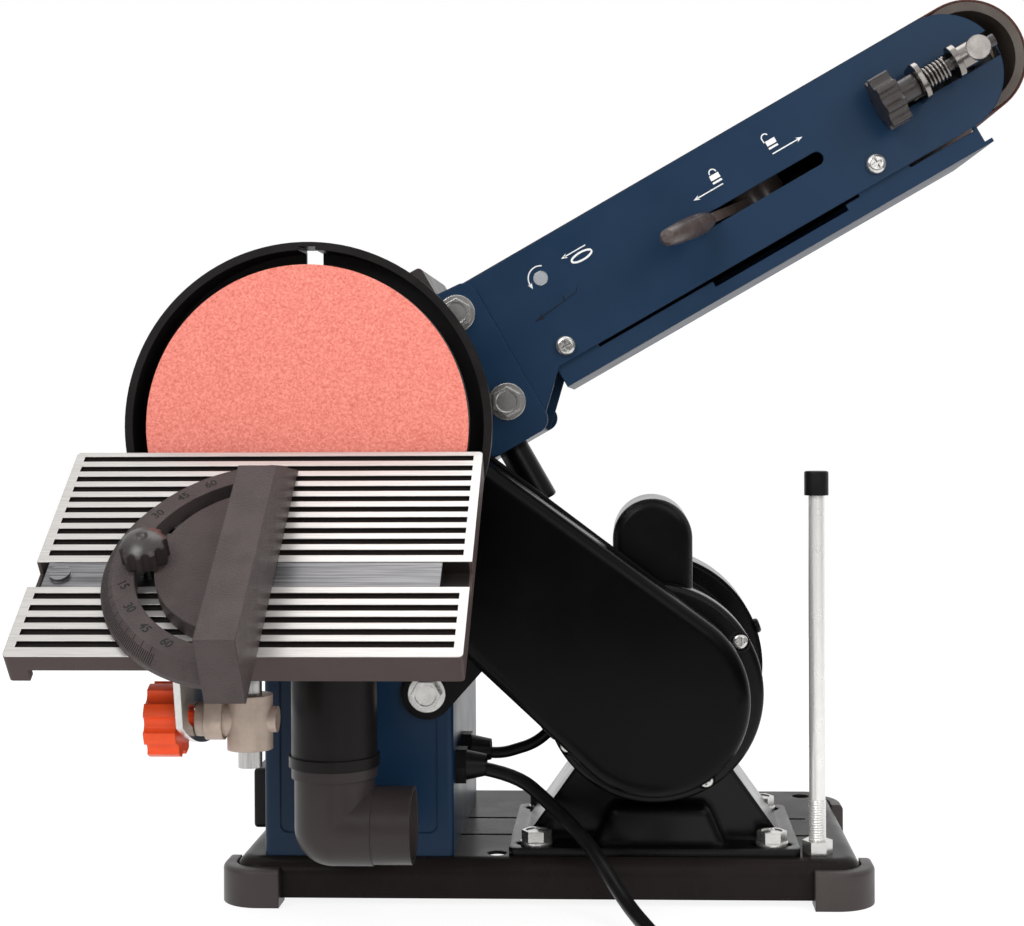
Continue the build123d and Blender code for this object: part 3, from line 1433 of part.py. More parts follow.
# Lower cover: a shallow channel between the side plates, with a window in front
cover_wall_top = arm_low + cover_sheet
cover_corner = 6.0
with BuildPart() as lower_cover:
    for wall_y in (arm_inner_y, arm_inner_back_y - cover_sheet):
        with BuildSketch(arm_plane(wall_y)):
            with BuildLine():
                Polyline((cover_end, cover_wall_top), (cover_start + cover_corner, cover_wall_top),
                         (cover_start + cover_corner, cover_low), (cover_end, cover_low),
                         (cover_end, cover_wall_top))
            make_face()
            for along, level in cover_screw_places:
                with Locations((along, (cover_tab_top + cover_wall_top) / 2)):
                    Rectangle(cover_tab_length, cover_tab_top - cover_wall_top + running_gap)
                with Locations((along, level)):
                    Circle(cover_screw_shank / 2 + hole_slack, mode=Mode.SUBTRACT)
            if wall_y == arm_inner_y:
                with Locations(((window_start + window_end) / 2, (arm_low + window_low) / 2 + cover_sheet / 2)):
                    Rectangle(window_end - window_start, arm_low - window_low + cover_sheet, mode=Mode.SUBTRACT)
                for slit_start, slit_end in cover_slits:
                    with Locations(((slit_start + slit_end) / 2, arm_low - cover_slit / 2)):
                        Rectangle(slit_end - slit_start, cover_slit, mode=Mode.SUBTRACT)
        extrude(amount=-cover_sheet)
    with BuildSketch(arm_plane(arm_inner_y)):
        with Locations(((cover_start + cover_corner + cover_end + cover_lip) / 2, cover_low + cover_sheet / 2)):
            Rectangle(cover_end + cover_lip - cover_start - cover_corner, cover_sheet)
    extrude(amount=arm_inner_y - arm_inner_back_y)
lower_cover.part.label = "lower_cover"
export_step(lower_cover.part, "parts/lower_cover.step")

# Cross screws of the lower cover, two in front and two behind
with BuildPart() as cover_screws:
    for along, level in cover_screw_places:
        front_seat = Plane(arm_point(along, level, arm_front_y), x_dir=tuple(arm_out), z_dir=(0, -1, 0))
        rear_seat = Plane(arm_point(along, level, arm_back_y), x_dir=tuple(arm_out), z_dir=(0, 1, 0))
        for seat in (front_seat, rear_seat):
            add(cross_screw(seat, cover_screw_head, cover_screw_head_height, cover_screw_shank,
                            arm_sheet + cover_sheet))
            with BuildSketch(seat.offset(-arm_sheet - cover_sheet)):
                Circle(cover_screw_head / 2 - 1)
            extrude(amount=-cover_sheet / 2)
cover_screws.part.label = "cover_screws"
export_step(cover_screws.part, "parts/cover_screws.step")

# Drum guard: work stop across the belt, hood round the drum and ears inside the side plates
stop_low = belt_outer + stop_lift
hood_outer = hood_inner + hood_sheet
with BuildPart() as drum_guard:
    with BuildSketch(arm_plane(arm_inner_y)):
        with Locations(((stop_start + stop_end) / 2, (stop_low + stop_top) / 2)):
            Rectangle(stop_end - stop_start, stop_top - stop_low)
        with Locations((stop_start / 2, hood_inner + hood_sheet / 2)):
            Rectangle(stop_start, hood_sheet)
        with BuildLine():
            CenterArc((0, 0), hood_outer, 90, hood_to - 90)
            CenterArc((0, 0), hood_inner, 90, hood_to - 90)
            Line((0, hood_inner), (0, hood_outer))
            Line((hood_inner * cos(radians(hood_to)), hood_inner * sin(radians(hood_to))),
                 (hood_outer * cos(radians(hood_to)), hood_outer * sin(radians(hood_to))))
        make_face()
    extrude(amount=arm_inner_y - arm_inner_back_y)
    hood_edges = drum_guard.edges().filter_by(Axis.Y).sort_by(Axis(arm_point(0, 0, 0), tuple(arm_up)))[-2:]
    fillet(hood_edges, hood_sheet)
    for ear_y in (arm_inner_y, arm_inner_back_y - hood_sheet):
        with BuildSketch(arm_plane(ear_y)):
            with Locations(((stop_start + stop_end) / 2, (stop_ear_low + stop_low) / 2)):
                Rectangle(stop_end - stop_start - hood_sheet, stop_low - stop_ear_low + hood_sheet)
            with Locations(lock_bolts[0]):
                Circle(lock_head_flats * 0.62, mode=Mode.SUBTRACT)
        extrude(amount=-hood_sheet)
drum_guard.part.label = "drum_guard"
export_step(drum_guard.part, "parts/drum_guard.step")

# Sanding belt round the drum and the idler
with BuildPart() as sanding_belt:
    with BuildSketch(arm_plane(belt_front_y)):
        with Locations((roller_spacing / 2, 0)):
            SlotCenterToCenter(roller_spacing, 2 * belt_outer)
            SlotCenterToCenter(roller_spacing, 2 * belt_inner, mode=Mode.SUBTRACT)
    extrude(amount=-belt_width)
sanding_belt.part.label = "sanding_belt"
export_step(sanding_belt.part, "parts/sanding_belt.step")

# Round bar under the bridge
with BuildPart() as support_bar:
    with BuildSketch(above_arm(bar_place, bar_end, bar_y)):
        Circle(bar_diameter / 2)
    extrude(amount=arm_root_low - bar_end)
    chamfer(support_bar.edges().sort_by(Axis.Z)[:1], 1.0)
support_bar.part.label = "support_bar"
export_step(support_bar.part, "parts/support_bar.step")

# Tracking bracket: a round-cornered tab in front of the arm, with a neck through the fork to the yoke
foot_face = arm_front_y - body_gap
tab_mid = foot_face - tracking_tab_depth / 2
tab_end = tracking_tab + tracking_tab_sheet
with BuildPart() as tracking_bracket:
    with BuildSketch(along_arm(tracking_tab, 0, tracking_y)):
        with Locations((tab_mid - tracking_y, 0)):
            RectangleRounded(tracking_tab_depth, 2 * tracking_tab_half, tracking_tab_round)
        Circle(tracking_screw / 2 + hole_slack, mode=Mode.SUBTRACT)
    extrude(amount=tracking_tab_sheet)
    with BuildSketch(arm_plane(foot_face - tracking_tab_round)):
        with Locations((tab_end - tracking_neck_length / 2, 0)):
            Rectangle(tracking_neck_length, 2 * tracking_neck_half)
    extrude(amount=foot_face - tracking_tab_round - arm_inner_y - yoke_gap)
tracking_bracket.part.label = "tracking_bracket"
export_step(tracking_bracket.part, "parts/tracking_bracket.step")

# Tension lever: hub with a spiral cam, a strip through the slot and a paddle
rest_angle = -90.0 - lever_swing / 2
cam_spots = []
for step in range(cam_steps + 1):
    fall = lever_swing * step / cam_steps
    reach = cam_reach - cam_lift * step / cam_steps
    cam_spots.append((reach * cos(radians(fall)), -reach * sin(radians(fall))))
lead_in = 8.0
cam_start = (cam_reach * cos(radians(lead_in)), cam_reach * sin(radians(lead_in)))
lever_flat = above_arm(lever_place, hub_low, lever_y)
lever_way = Plane(lever_flat.origin, x_dir=tuple(arm_out * cos(radians(rest_angle)) +
                  Vector(0, sin(radians(rest_angle)), 0)), z_dir=tuple(arm_up))
strip_low = (lever_hub_height - lever_strip_thickness) / 2
paddle_axis = lever_way.offset(lever_hub_height / 2)
paddle_start = lever_reach - paddle_length
paddle_spots = [(paddle_start, paddle_neck), (paddle_start + paddle_length * 0.14, paddle_swell * 0.9),
                (paddle_start + paddle_length * 0.4, paddle_swell),
                (paddle_start + paddle_length * 0.75, paddle_swell * 0.9),
                (lever_reach - paddle_tip * 0.5, paddle_tip)]
with BuildPart() as tension_lever:
    with BuildSketch(lever_flat):
        with BuildLine():
            Spline(*cam_spots)
            Polyline(cam_spots[-1], (0, 0), cam_start, cam_spots[0])
        make_face()
        Circle(lever_hub_radius)
    extrude(amount=lever_hub_height)
    with BuildSketch(lever_way.offset(strip_low)):
        with Locations((paddle_start / 2, 0)):
            Rectangle(paddle_start, lever_strip)
    extrude(amount=lever_strip_thickness)
    with BuildSketch(paddle_axis):
        with BuildLine():
            Polyline((paddle_start, 0), paddle_spots[0])
            Spline(*paddle_spots)
            Polyline(paddle_spots[-1], (lever_reach, paddle_tip / 2), (lever_reach, 0), (paddle_start, 0))
        make_face()
    revolve(axis=Axis(paddle_axis.origin, paddle_axis.x_dir))
    with BuildSketch(lever_flat):
        Circle(lever_pin / 2 + running_gap)
    extrude(amount=lever_hub_height, mode=Mode.SUBTRACT)
tension_lever.part.label = "tension_lever"
export_step(tension_lever.part, "parts/tension_lever.step")

# Idler yoke: a fork for the axle with a push rod that the cam holds out
yoke_tip = roller_spacing + yoke_half
yoke_front_y = arm_inner_y + yoke_gap
yoke_back_y = arm_inner_back_y - yoke_gap
rod_nose = lever_place + cam_reach + cam_clear
with BuildPart() as idler_yoke:
    with BuildSketch(arm_plane(yoke_front_y)):
        with Locations((yoke_back + yoke_bar / 2, 0)):
            Rectangle(yoke_bar, 2 * yoke_half)
    extrude(amount=yoke_front_y - yoke_back_y)
    for arm_y in (yoke_front_y, yoke_back_y - yoke_sheet):
        with BuildSketch(arm_plane(arm_y)):
            with Locations(((yoke_back + yoke_tip) / 2, 0)):
                Rectangle(yoke_tip - yoke_back, 2 * yoke_half)
            if arm_y == yoke_front_y:
                with Locations((roller_spacing - axle_play / 2, 0)):
                    SlotOverall(axle_diameter + axle_play + 2 * hole_slack, axle_diameter + 2 * hole_slack,
                                mode=Mode.SUBTRACT)
            else:
                with Locations((roller_spacing, 0)):
                    Circle(axle_diameter / 2 + 3 * running_gap, mode=Mode.SUBTRACT)
        extrude(amount=-yoke_sheet)
    with BuildSketch(along_arm(yoke_back, lever_level, lever_y)):
        Circle(push_rod / 2)
    extrude(amount=rod_nose - yoke_back)
    nose_way = Axis(arm_point(0, 0, 0), tuple(arm_out))
    nose_edge = idler_yoke.edges().filter_by(GeomType.CIRCLE).sort_by(nose_way)[0]
    fillet(nose_edge, push_rod * 0.4)
idler_yoke.part.label = "idler_yoke"
export_step(idler_yoke.part, "parts/idler_yoke.step")

# Idler axle with a pad for the tracking screw
axle_back = arm_back_y + axle_rear_proud
with BuildPart() as idler_axle:
    with BuildSketch(facing(axle_front, *arm_point(roller_spacing, 0, 0)[::2])):
        Circle(axle_diameter / 2)
    extrude(amount=axle_front - axle_back)
    with BuildSketch(along_arm(tracking_washer_face, 0, tracking_y)):
        Circle(tracking_washer / 2)
    extrude(amount=3.0)
    with BuildSketch(along_arm(tracking_washer_face, 0, tracking_y)):
        Circle(axle_diameter / 2)
    extrude(amount=roller_spacing - tracking_washer_face)
    with BuildSketch(along_arm(tracking_washer_face, 0, tracking_y)):
        Circle(tracking_screw / 2 + 2 * hole_slack)
    extrude(amount=2 * tracking_washer, mode=Mode.SUBTRACT)
idler_axle.part.label = "idler_axle"
export_step(idler_axle.part, "parts/idler_axle.step")

with BuildPart() as idler_roller:
    add(roller(facing(roller_front_y, *arm_point(roller_spacing, 0, 0)[::2]), axle_diameter + 2 * running_gap))
idler_roller.part.label = "idler_roller"
export_step(idler_roller.part, "parts/idler_roller.step")

# Tracking knob with its neck and screw
with BuildPart() as tracking_knob:
    add(lobed_knob(along_arm(tracking_knob_start, 0, tracking_y), tracking_knob_diameter, tracking_knob_length,
                   tracking_lobes, tracking_lobe_radius))
    with BuildSketch(along_arm(tracking_knob_start, 0, tracking_y)):
        Circle(tracking_neck / 2)
    extrude(amount=tracking_tab - tracking_knob_start - body_gap)
    with BuildSketch(along_arm(tracking_knob_start, 0, tracking_y)):
        Circle(tracking_screw / 2)
    extrude(amount=tracking_screw_end - tracking_knob_start)
tracking_knob.part.label = "tracking_knob"
export_step(tracking_knob.part, "parts/tracking_knob.step")

# Spring round the tracking screw
spring_start = tracking_tab + tracking_tab_sheet + spring_wire / 2
spring_space = 15.0 - spring_wire
with BuildPart() as tracking_spring:
    with BuildLine() as spring_route:
        Helix(spring_space / spring_turns, spring_space, (spring_diameter - spring_wire) / 2,
              center=arm_point(spring_start, 0, tracking_y), direction=tuple(arm_out))
    with BuildSketch(Plane(spring_route.line @ 0, z_dir=spring_route.line % 0)):
        Circle(spring_wire / 2)
    sweep()
tracking_spring.part.label = "tracking_spring"
export_step(tracking_spring.part, "parts/tracking_spring.step")

# Support rod: an L of steel rod from the pillar, with its vertical leg in the clamp
with BuildPart() as support_rod:
    with BuildLine() as rod_route:
        FilletPolyline((clamp_x, clamp_y, support_low), (clamp_x, clamp_y, support_high),
                       (clamp_x, pillar_front + pillar_sheet + support_tail, support_high), radius=support_bend)
    with BuildSketch(Plane((clamp_x, clamp_y, support_low))):
        Circle(support_diameter / 2)
    sweep(path=rod_route.wires()[0])
support_rod.part.label = "support_rod"
export_step(support_rod.part, "parts/support_rod.step")

# Table places: across, from the back edge towards the operator, and up from the top face
table_pivot_y = disc_face_y - table_disc_gap - table_pivot_in
lean = radians(table_tilt)
table_back = Vector(0, cos(lean), sin(lean))
table_up = Vector(0, -sin(lean), cos(lean))
table_edge = Vector(0, table_pivot_y, table_pivot_z) + table_back * table_pivot_in + table_up * table_pivot_down


def on_table(x, forward, up):
    # A plane on the table: local x across, local y towards the disc
    spot = table_edge - table_back * forward + table_up * up
    return Plane((x, spot.Y, spot.Z), x_dir=(1, 0, 0), z_dir=tuple(table_up))


def beside_table(x):
    # A plane across the table: local x towards the disc, local y up from the top face, from the back edge
    return Plane((x, table_edge.Y, table_edge.Z), x_dir=tuple(table_back), z_dir=(1, 0, 0))


# Cross clamp: body on the rod, two bosses and an upright that carries the pivot
with BuildPart() as cross_clamp:
    with BuildSketch(Plane((clamp_x, clamp_y, clamp_low))):
        Circle(clamp_body / 2)
    extrude(amount=clamp_high - clamp_low)
    with BuildSketch(Plane.YZ.offset(left_boss_end)):
        with Locations((clamp_y, clamp_axis_z)):
            Circle(left_boss / 2)
    extrude(amount=clamp_x - left_boss_end)
    with BuildSketch(Plane.YZ.offset(clamp_x)):
        with Locations((clamp_y, clamp_axis_z)):
            Circle(right_boss / 2)
    extrude(amount=right_boss_end - clamp_x)
    with BuildSketch(Plane.YZ.offset(upright_x - upright_sheet / 2)):
        with Locations((clamp_y, clamp_axis_z)):
            Circle(upright_foot)
        with Locations((table_pivot_y, table_pivot_z)):
            Circle(upright_round)
        make_hull()
        with Locations((table_pivot_y, table_pivot_z)):
            Circle(pivot_diameter / 2, mode=Mode.SUBTRACT)
    extrude(amount=upright_sheet)
    with BuildSketch(Plane((clamp_x, clamp_y, clamp_low))):
        Circle(support_diameter / 2)
    extrude(amount=clamp_high - clamp_low, mode=Mode.SUBTRACT)
    with BuildSketch(Plane.YZ.offset(left_boss_end)):
        with Locations((clamp_y, clamp_axis_z)):
            Circle(lock_screw / 2 + running_gap)
    extrude(amount=left_collar_end - left_boss_end, mode=Mode.SUBTRACT)
cross_clamp.part.label = "cross_clamp"
export_step(cross_clamp.part, "parts/cross_clamp.step")

# Pivot pin of the table
lug_gap = 0.3
lug_left = upright_x - upright_sheet / 2 - lug_gap
lug_right = upright_x + upright_sheet / 2 + lug_gap
with BuildPart() as pivot_pin:
    with BuildSketch(Plane.YZ.offset(lug_left - lug_sheet)):
        with Locations((table_pivot_y, table_pivot_z)):
            Circle(pivot_diameter / 2)
    extrude(amount=lug_right - lug_left + 2 * lug_sheet)
pivot_pin.part.label = "pivot_pin"
export_step(pivot_pin.part, "parts/pivot_pin.step")

# Table: grooved slab with a mitre slot, aprons and two pivot lugs
rib_width = mitre_slot_width + 2 * table_wall
rib_low = -mitre_slot_depth - slot_floor
with BuildPart() as table:
    with BuildSketch(on_table(table_x, table_depth / 2, 0)):
        RectangleRounded(table_width, table_depth, table_wall / 2)
    extrude(amount=-table_apron)
    with BuildSketch(on_table(table_x, table_depth / 2 - table_wall, -table_apron)):
        Rectangle(table_width - 2 * table_wall, table_depth)
    extrude(amount=table_apron - table_plate, mode=Mode.SUBTRACT)
    with BuildSketch(on_table(table_x - (table_width - table_left_step) / 2, table_depth / 2, -table_apron)):
        with Locations((table_leg / 2, 0)):
            Rectangle(table_left_step - table_leg, table_depth)
    extrude(amount=table_apron - table_left_apron, mode=Mode.SUBTRACT)
    with BuildSketch(on_table(table_x, slot_place, rib_low)):
        Rectangle(table_width, rib_width)
    extrude(amount=-rib_low - table_plate)
    for lug_x in (lug_left - lug_sheet, lug_right):
        with BuildSketch(beside_table(lug_x)):
            with Locations((-table_pivot_in, -table_pivot_down)):
                Circle(pivot_lug_round)
            with Locations((-table_pivot_in, -table_pivot_down / 2 - table_plate / 2)):
                Rectangle(2 * pivot_lug_round, table_pivot_down - table_plate)
            with Locations((-table_pivot_in, -table_pivot_down)):
                Circle(pivot_diameter / 2 + running_gap, mode=Mode.SUBTRACT)
        extrude(amount=lug_sheet)
    with BuildSketch(on_table(table_x, slot_place, 0)):
        Rectangle(table_width, mitre_slot_width)
    extrude(amount=-mitre_slot_depth, mode=Mode.SUBTRACT)
    rows = [groove_first + groove_pitch * row for row in range(groove_rows_back)]
    rows += [groove_front_first + groove_pitch * row for row in range(groove_rows_front)]
    with BuildSketch(on_table(table_x, 0, 0)):
        with Locations(*[(0, -row) for row in rows]):
            Rectangle(table_width - 2 * groove_margin, groove_width)
    extrude(amount=-groove_depth, mode=Mode.SUBTRACT)
table.part.label = "table"
export_step(table.part, "parts/table.step")

# Tilt sector: a slotted quadrant hanging from the slot's rib
stud_reach = hypot(clamp_y - table_pivot_y, clamp_axis_z - table_pivot_z)
stud_level = degrees(atan2(table_pivot_z - clamp_axis_z, table_pivot_y - clamp_y))
sector_right = left_boss_end - lug_gap
sector_from = stud_level - table_tilt_most - sector_spare
sector_to = stud_level + sector_spare


def sector_spot(radius, angle):
    return (-table_pivot_in - radius * cos(radians(angle)), -table_pivot_down - radius * sin(radians(angle)))


with BuildPart() as tilt_sector:
    with BuildSketch(beside_table(sector_right - sector_sheet)):
        with BuildLine():
            rim_out = ThreePointArc(sector_spot(stud_reach + sector_rim, sector_from),
                                    sector_spot(stud_reach + sector_rim, (sector_from + sector_to) / 2),
                                    sector_spot(stud_reach + sector_rim, sector_to))
            rim_in = ThreePointArc(sector_spot(stud_reach - sector_rim, sector_from),
                                   sector_spot(stud_reach - sector_rim, (sector_from + sector_to) / 2),
                                   sector_spot(stud_reach - sector_rim, sector_to))
            Line(rim_out @ 0, rim_in @ 0)
            Line(rim_out @ 1, rim_in @ 1)
        make_face()
        Polygon((-slot_place + rib_width / 2, rib_low), (-slot_place - rib_width / 2, rib_low),
                sector_spot(stud_reach + sector_rim, sector_from),
                sector_spot(stud_reach, sector_from + sector_web / 2),
                sector_spot(stud_reach - sector_rim, sector_from + sector_web / 2), align=None)
        with Locations(sector_spot(stud_reach, sector_to)):
            Circle(sector_rim)
        with BuildLine():
            slot_out = ThreePointArc(sector_spot(stud_reach + sector_slot / 2, sector_from + sector_spare),
                                     sector_spot(stud_reach + sector_slot / 2, (sector_from + sector_to) / 2),
                                     sector_spot(stud_reach + sector_slot / 2, sector_to - sector_spare))
            slot_in = ThreePointArc(sector_spot(stud_reach - sector_slot / 2, sector_from + sector_spare),
                                    sector_spot(stud_reach - sector_slot / 2, (sector_from + sector_to) / 2),
                                    sector_spot(stud_reach - sector_slot / 2, sector_to - sector_spare))
            Line(slot_out @ 0, slot_in @ 0)
            Line(slot_out @ 1, slot_in @ 1)
        make_face(mode=Mode.SUBTRACT)
        with Locations(sector_spot(stud_reach, sector_from + sector_spare),
                       sector_spot(stud_reach, sector_to - sector_spare)):
            Circle(sector_slot / 2, mode=Mode.SUBTRACT)
    extrude(amount=sector_sheet)
tilt_sector.part.label = "tilt_sector"
export_step(tilt_sector.part, "parts/tilt_sector.step")

# Tilt lock knob with its collar and screw
knob_seat = sector_right - sector_sheet - lug_gap
collar_length = 2.6
knob_end = knob_seat - collar_length - lock_knob_length
with BuildPart() as tilt_knob:
    knob_plane = Plane((knob_end, clamp_y, clamp_axis_z), x_dir=(0, 1, 0), z_dir=(1, 0, 0))
    add(lobed_knob(knob_plane, lock_knob_diameter, lock_knob_length, lock_knob_lobes, lock_lobe_radius))
    with BuildSketch(knob_plane):
        Circle(lock_collar / 2)
    extrude(amount=lock_knob_length + collar_length)
    with BuildSketch(knob_plane):
        Circle(lock_screw / 2)
    extrude(amount=lock_screw_length)
tilt_knob.part.label = "tilt_knob"
export_step(tilt_knob.part, "parts/tilt_knob.step")

# Mitre bar with its pivot, clamp stud and rivet
bar_top = -(mitre_slot_depth - mitre_bar_thickness) / 2
head_low = body_gap
with BuildPart() as mitre_bar:
    with BuildSketch(on_table(mitre_bar_middle, slot_place, bar_top)):
        Rectangle(mitre_bar_length, mitre_bar_width)
    extrude(amount=-mitre_bar_thickness)
    with BuildSketch(on_table(mitre_x, slot_place, bar_top)):
        Circle(mitre_pivot / 2)
    extrude(amount=mitre_top)
    with BuildSketch(on_table(mitre_x - mitre_slot_radius, slot_place, bar_top)):
        Circle(mitre_stud / 2)
    extrude(amount=mitre_top + mitre_knob_height / 2)
    with BuildSketch(on_table(mitre_bar_middle - mitre_bar_length / 2 + rivet_inset, slot_place, bar_top)):
        Circle(rivet_diameter / 2)
    extrude(amount=rivet_height)
mitre_bar.part.label = "mitre_bar"
export_step(mitre_bar.part, "parts/mitre_bar.step")

# Mitre head: half-round protractor with a curved slot, and the fence
half_cover = 2 * mitre_rim
with BuildPart() as mitre_head:
    with BuildSketch(on_table(mitre_x, slot_place, head_low)):
        Circle(mitre_rim)
        with Locations((half_cover / 2, 0)):
            Rectangle(half_cover, half_cover, mode=Mode.SUBTRACT)
    extrude(amount=mitre_base - head_low)
    with BuildSketch(on_table(mitre_x, slot_place, mitre_base)):
        Circle(mitre_rim)
        with Locations((half_cover / 2, 0)):
            Rectangle(half_cover, half_cover, mode=Mode.SUBTRACT)
    extrude(amount=mitre_top - mitre_base, taper=45)
    with BuildSketch(beside_table(mitre_x + fence_left)):
        Polygon((fence_back_low - slot_place, head_low), (-fence_front_low - slot_place, head_low),
                (-fence_front_high - slot_place, fence_height), (fence_back_high - slot_place, fence_height),
                align=None)
    extrude(amount=fence_right - fence_left)
    with BuildSketch(on_table(mitre_x, slot_place, mitre_top)):
        add(arc_slot(mitre_slot_radius, mitre_slot_gap, 180 - mitre_slot_swing, 180 + mitre_slot_swing))
    extrude(amount=-mitre_top, mode=Mode.SUBTRACT)
    with BuildSketch(on_table(mitre_x, slot_place, head_low)):
        Circle(mitre_pivot / 2 + running_gap)
    extrude(amount=mitre_top + body_gap, mode=Mode.SUBTRACT)
mitre_head.part.label = "mitre_head"
export_step(mitre_head.part, "parts/mitre_head.step")

# Mitre clamp knob
with BuildPart() as mitre_knob:
    knob_low = on_table(mitre_x - mitre_slot_radius, slot_place, mitre_top + mitre_knob_seat)
    add(lobed_knob(knob_low, mitre_knob_diameter, mitre_knob_height, mitre_knob_flutes, mitre_flute_radius))
    with Locations(knob_low.offset(mitre_knob_height - mitre_knob_dome)):
        Sphere(mitre_knob_dome, mode=Mode.INTERSECT)
    with Locations(knob_low.offset(mitre_knob_height + mitre_knob_dimple / 2)):
        Sphere(mitre_knob_dimple, mode=Mode.SUBTRACT)
    stud_level = mitre_top + mitre_knob_seat - body_gap * 2
    with BuildSketch(on_table(mitre_x - mitre_slot_radius, slot_place, stud_level)):
        Circle(mitre_knob_diameter * 0.3)
    extrude(amount=body_gap * 3)
    with BuildSketch(knob_low.offset(-mitre_knob_seat)):
        Circle(mitre_stud / 2 + running_gap)
    extrude(amount=mitre_knob_height / 2 + mitre_knob_seat, mode=Mode.SUBTRACT)
mitre_knob.part.label = "mitre_knob"
export_step(mitre_knob.part, "parts/mitre_knob.step")
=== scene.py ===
import bpy
import math
import numpy as np
from mathutils import Matrix, Vector


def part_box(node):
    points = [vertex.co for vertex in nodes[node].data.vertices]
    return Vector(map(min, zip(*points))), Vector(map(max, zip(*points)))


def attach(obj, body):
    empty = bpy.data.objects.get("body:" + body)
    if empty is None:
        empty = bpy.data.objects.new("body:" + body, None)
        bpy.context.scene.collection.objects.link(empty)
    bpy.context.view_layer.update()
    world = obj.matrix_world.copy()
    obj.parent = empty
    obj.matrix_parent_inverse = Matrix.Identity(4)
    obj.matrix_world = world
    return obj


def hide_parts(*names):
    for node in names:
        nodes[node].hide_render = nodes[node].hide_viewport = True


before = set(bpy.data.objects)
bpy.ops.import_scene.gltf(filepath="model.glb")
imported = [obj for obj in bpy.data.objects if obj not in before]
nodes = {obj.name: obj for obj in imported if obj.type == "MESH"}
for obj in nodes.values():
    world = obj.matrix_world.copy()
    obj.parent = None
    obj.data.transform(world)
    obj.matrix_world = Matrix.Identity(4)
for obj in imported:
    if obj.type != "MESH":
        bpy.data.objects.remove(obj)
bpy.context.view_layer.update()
scene = bpy.context.scene
scene.view_settings.view_transform = "Standard"
mm = 0.001
print("frame loaded:", len(nodes), "nodes")

# camera: long lens low in front, a little of the framing by shift and the rest by turning
cameraSet = {
    "place": (41.45, -952.3, 241.83), "lensPixels": 1780.85, "imageWidth": 1024.0, "sensor": 36.0,
    "yaw": 2.16, "pitch": -0.40, "roll": -0.24, "shift": (-0.0488, -0.03785), "clip": (0.05, 50.0),
}
cameraData = bpy.data.cameras.new("camera")
cameraData.sensor_width = cameraSet["sensor"]
cameraData.lens = cameraSet["lensPixels"] / cameraSet["imageWidth"] * cameraSet["sensor"]
cameraData.shift_x, cameraData.shift_y = cameraSet["shift"]
cameraData.clip_start, cameraData.clip_end = cameraSet["clip"]
camera = bpy.data.objects.new("camera", cameraData)
camera.location = Vector(cameraSet["place"]) * mm
yaw = Matrix.Rotation(math.radians(cameraSet["yaw"]), 3, "Z")
pitch = Matrix.Rotation(math.radians(90 + cameraSet["pitch"]), 3, "X")  # 90 degrees brings it level
roll = Matrix.Rotation(math.radians(cameraSet["roll"]), 3, "Z")
camera.rotation_euler = (yaw @ pitch @ roll).to_euler()
scene.collection.objects.link(camera)
scene.camera = camera
print("camera placed")


def newMesh(name, points, faces, material, body, slot, smooth=True):
    # one mesh object at the origin from an array of points in millimetres and a list of faces
    mesh = bpy.data.meshes.new(name)
    mesh.from_pydata((np.asarray(points, float) * mm).tolist(), [], [list(map(int, f)) for f in faces])
    mesh.polygons.foreach_set("use_smooth", np.full(len(mesh.polygons), smooth))
    mesh.update()
    mesh.materials.append(material)
    piece = bpy.data.objects.new(name, mesh)
    scene.collection.objects.link(piece)
    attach(piece, body)
    return piece


def gridFaces(rows, columns, closeRows=False, closeColumns=False):
    # quads of a rows x columns grid of points, wrapped round where a direction is closed
    r = np.arange(rows if closeRows else rows - 1)
    c = np.arange(columns if closeColumns else columns - 1)
    r, c = (a.ravel() for a in np.meshgrid(r, c, indexing="ij"))
    r2 = (r + 1) % rows
    c2 = (c + 1) % columns
    return np.stack([r * columns + c, r2 * columns + c, r2 * columns + c2, r * columns + c2], 1)


def makeGroup(name, inputs, outputs):
    # an empty shader node group with named sockets, and its two end nodes
    group = bpy.data.node_groups.new(name, "ShaderNodeTree")
    for label, kind, value in inputs:
        socket = group.interface.new_socket(label, in_out="INPUT", socket_type="NodeSocket" + kind)
        socket.default_value = value
    for label, kind in outputs:
        group.interface.new_socket(label, in_out="OUTPUT", socket_type="NodeSocket" + kind)
    entry = group.nodes.new("NodeGroupInput")
    leave = group.nodes.new("NodeGroupOutput")
    return group, entry, leave


def put(tree, kind, links=None, **values):
    # a node with its properties, its plain socket values and the sockets that feed it
    node = tree.nodes.new("ShaderNode" + kind)
    for key, value in values.items():
        setattr(node, key, value)
    for key, source in (links or {}).items():
        socket = node.inputs[key]
        if isinstance(source, bpy.types.NodeSocket):
            tree.links.new(source, socket)
        else:
            socket.default_value = source
    return node


def mathNode(tree, operation, a, b=0.0):
    # a and b put together by one operation
    return put(tree, "Math", {0: a, 1: b}, operation=operation).outputs[0]


def mixColour(tree, factor, a, b):
    # colour a where the factor is 0, colour b where it is 1
    return put(tree, "Mix", {0: factor, 6: a, 7: b}, data_type="RGBA").outputs[2]


def ramp(tree, source, low, high):
    # 0 below low, 1 above high, smooth between
    return put(tree, "MapRange", {"Value": source, "From Min": low, "From Max": high},
               interpolation_type="SMOOTHSTEP").outputs[0]


skinSet = {
    "fine": {"Detail": 3.0, "Roughness": 0.55}, "broad": {"Detail": 4.0, "Roughness": 0.6},
    "cloud": (0.3, 0.7),
}


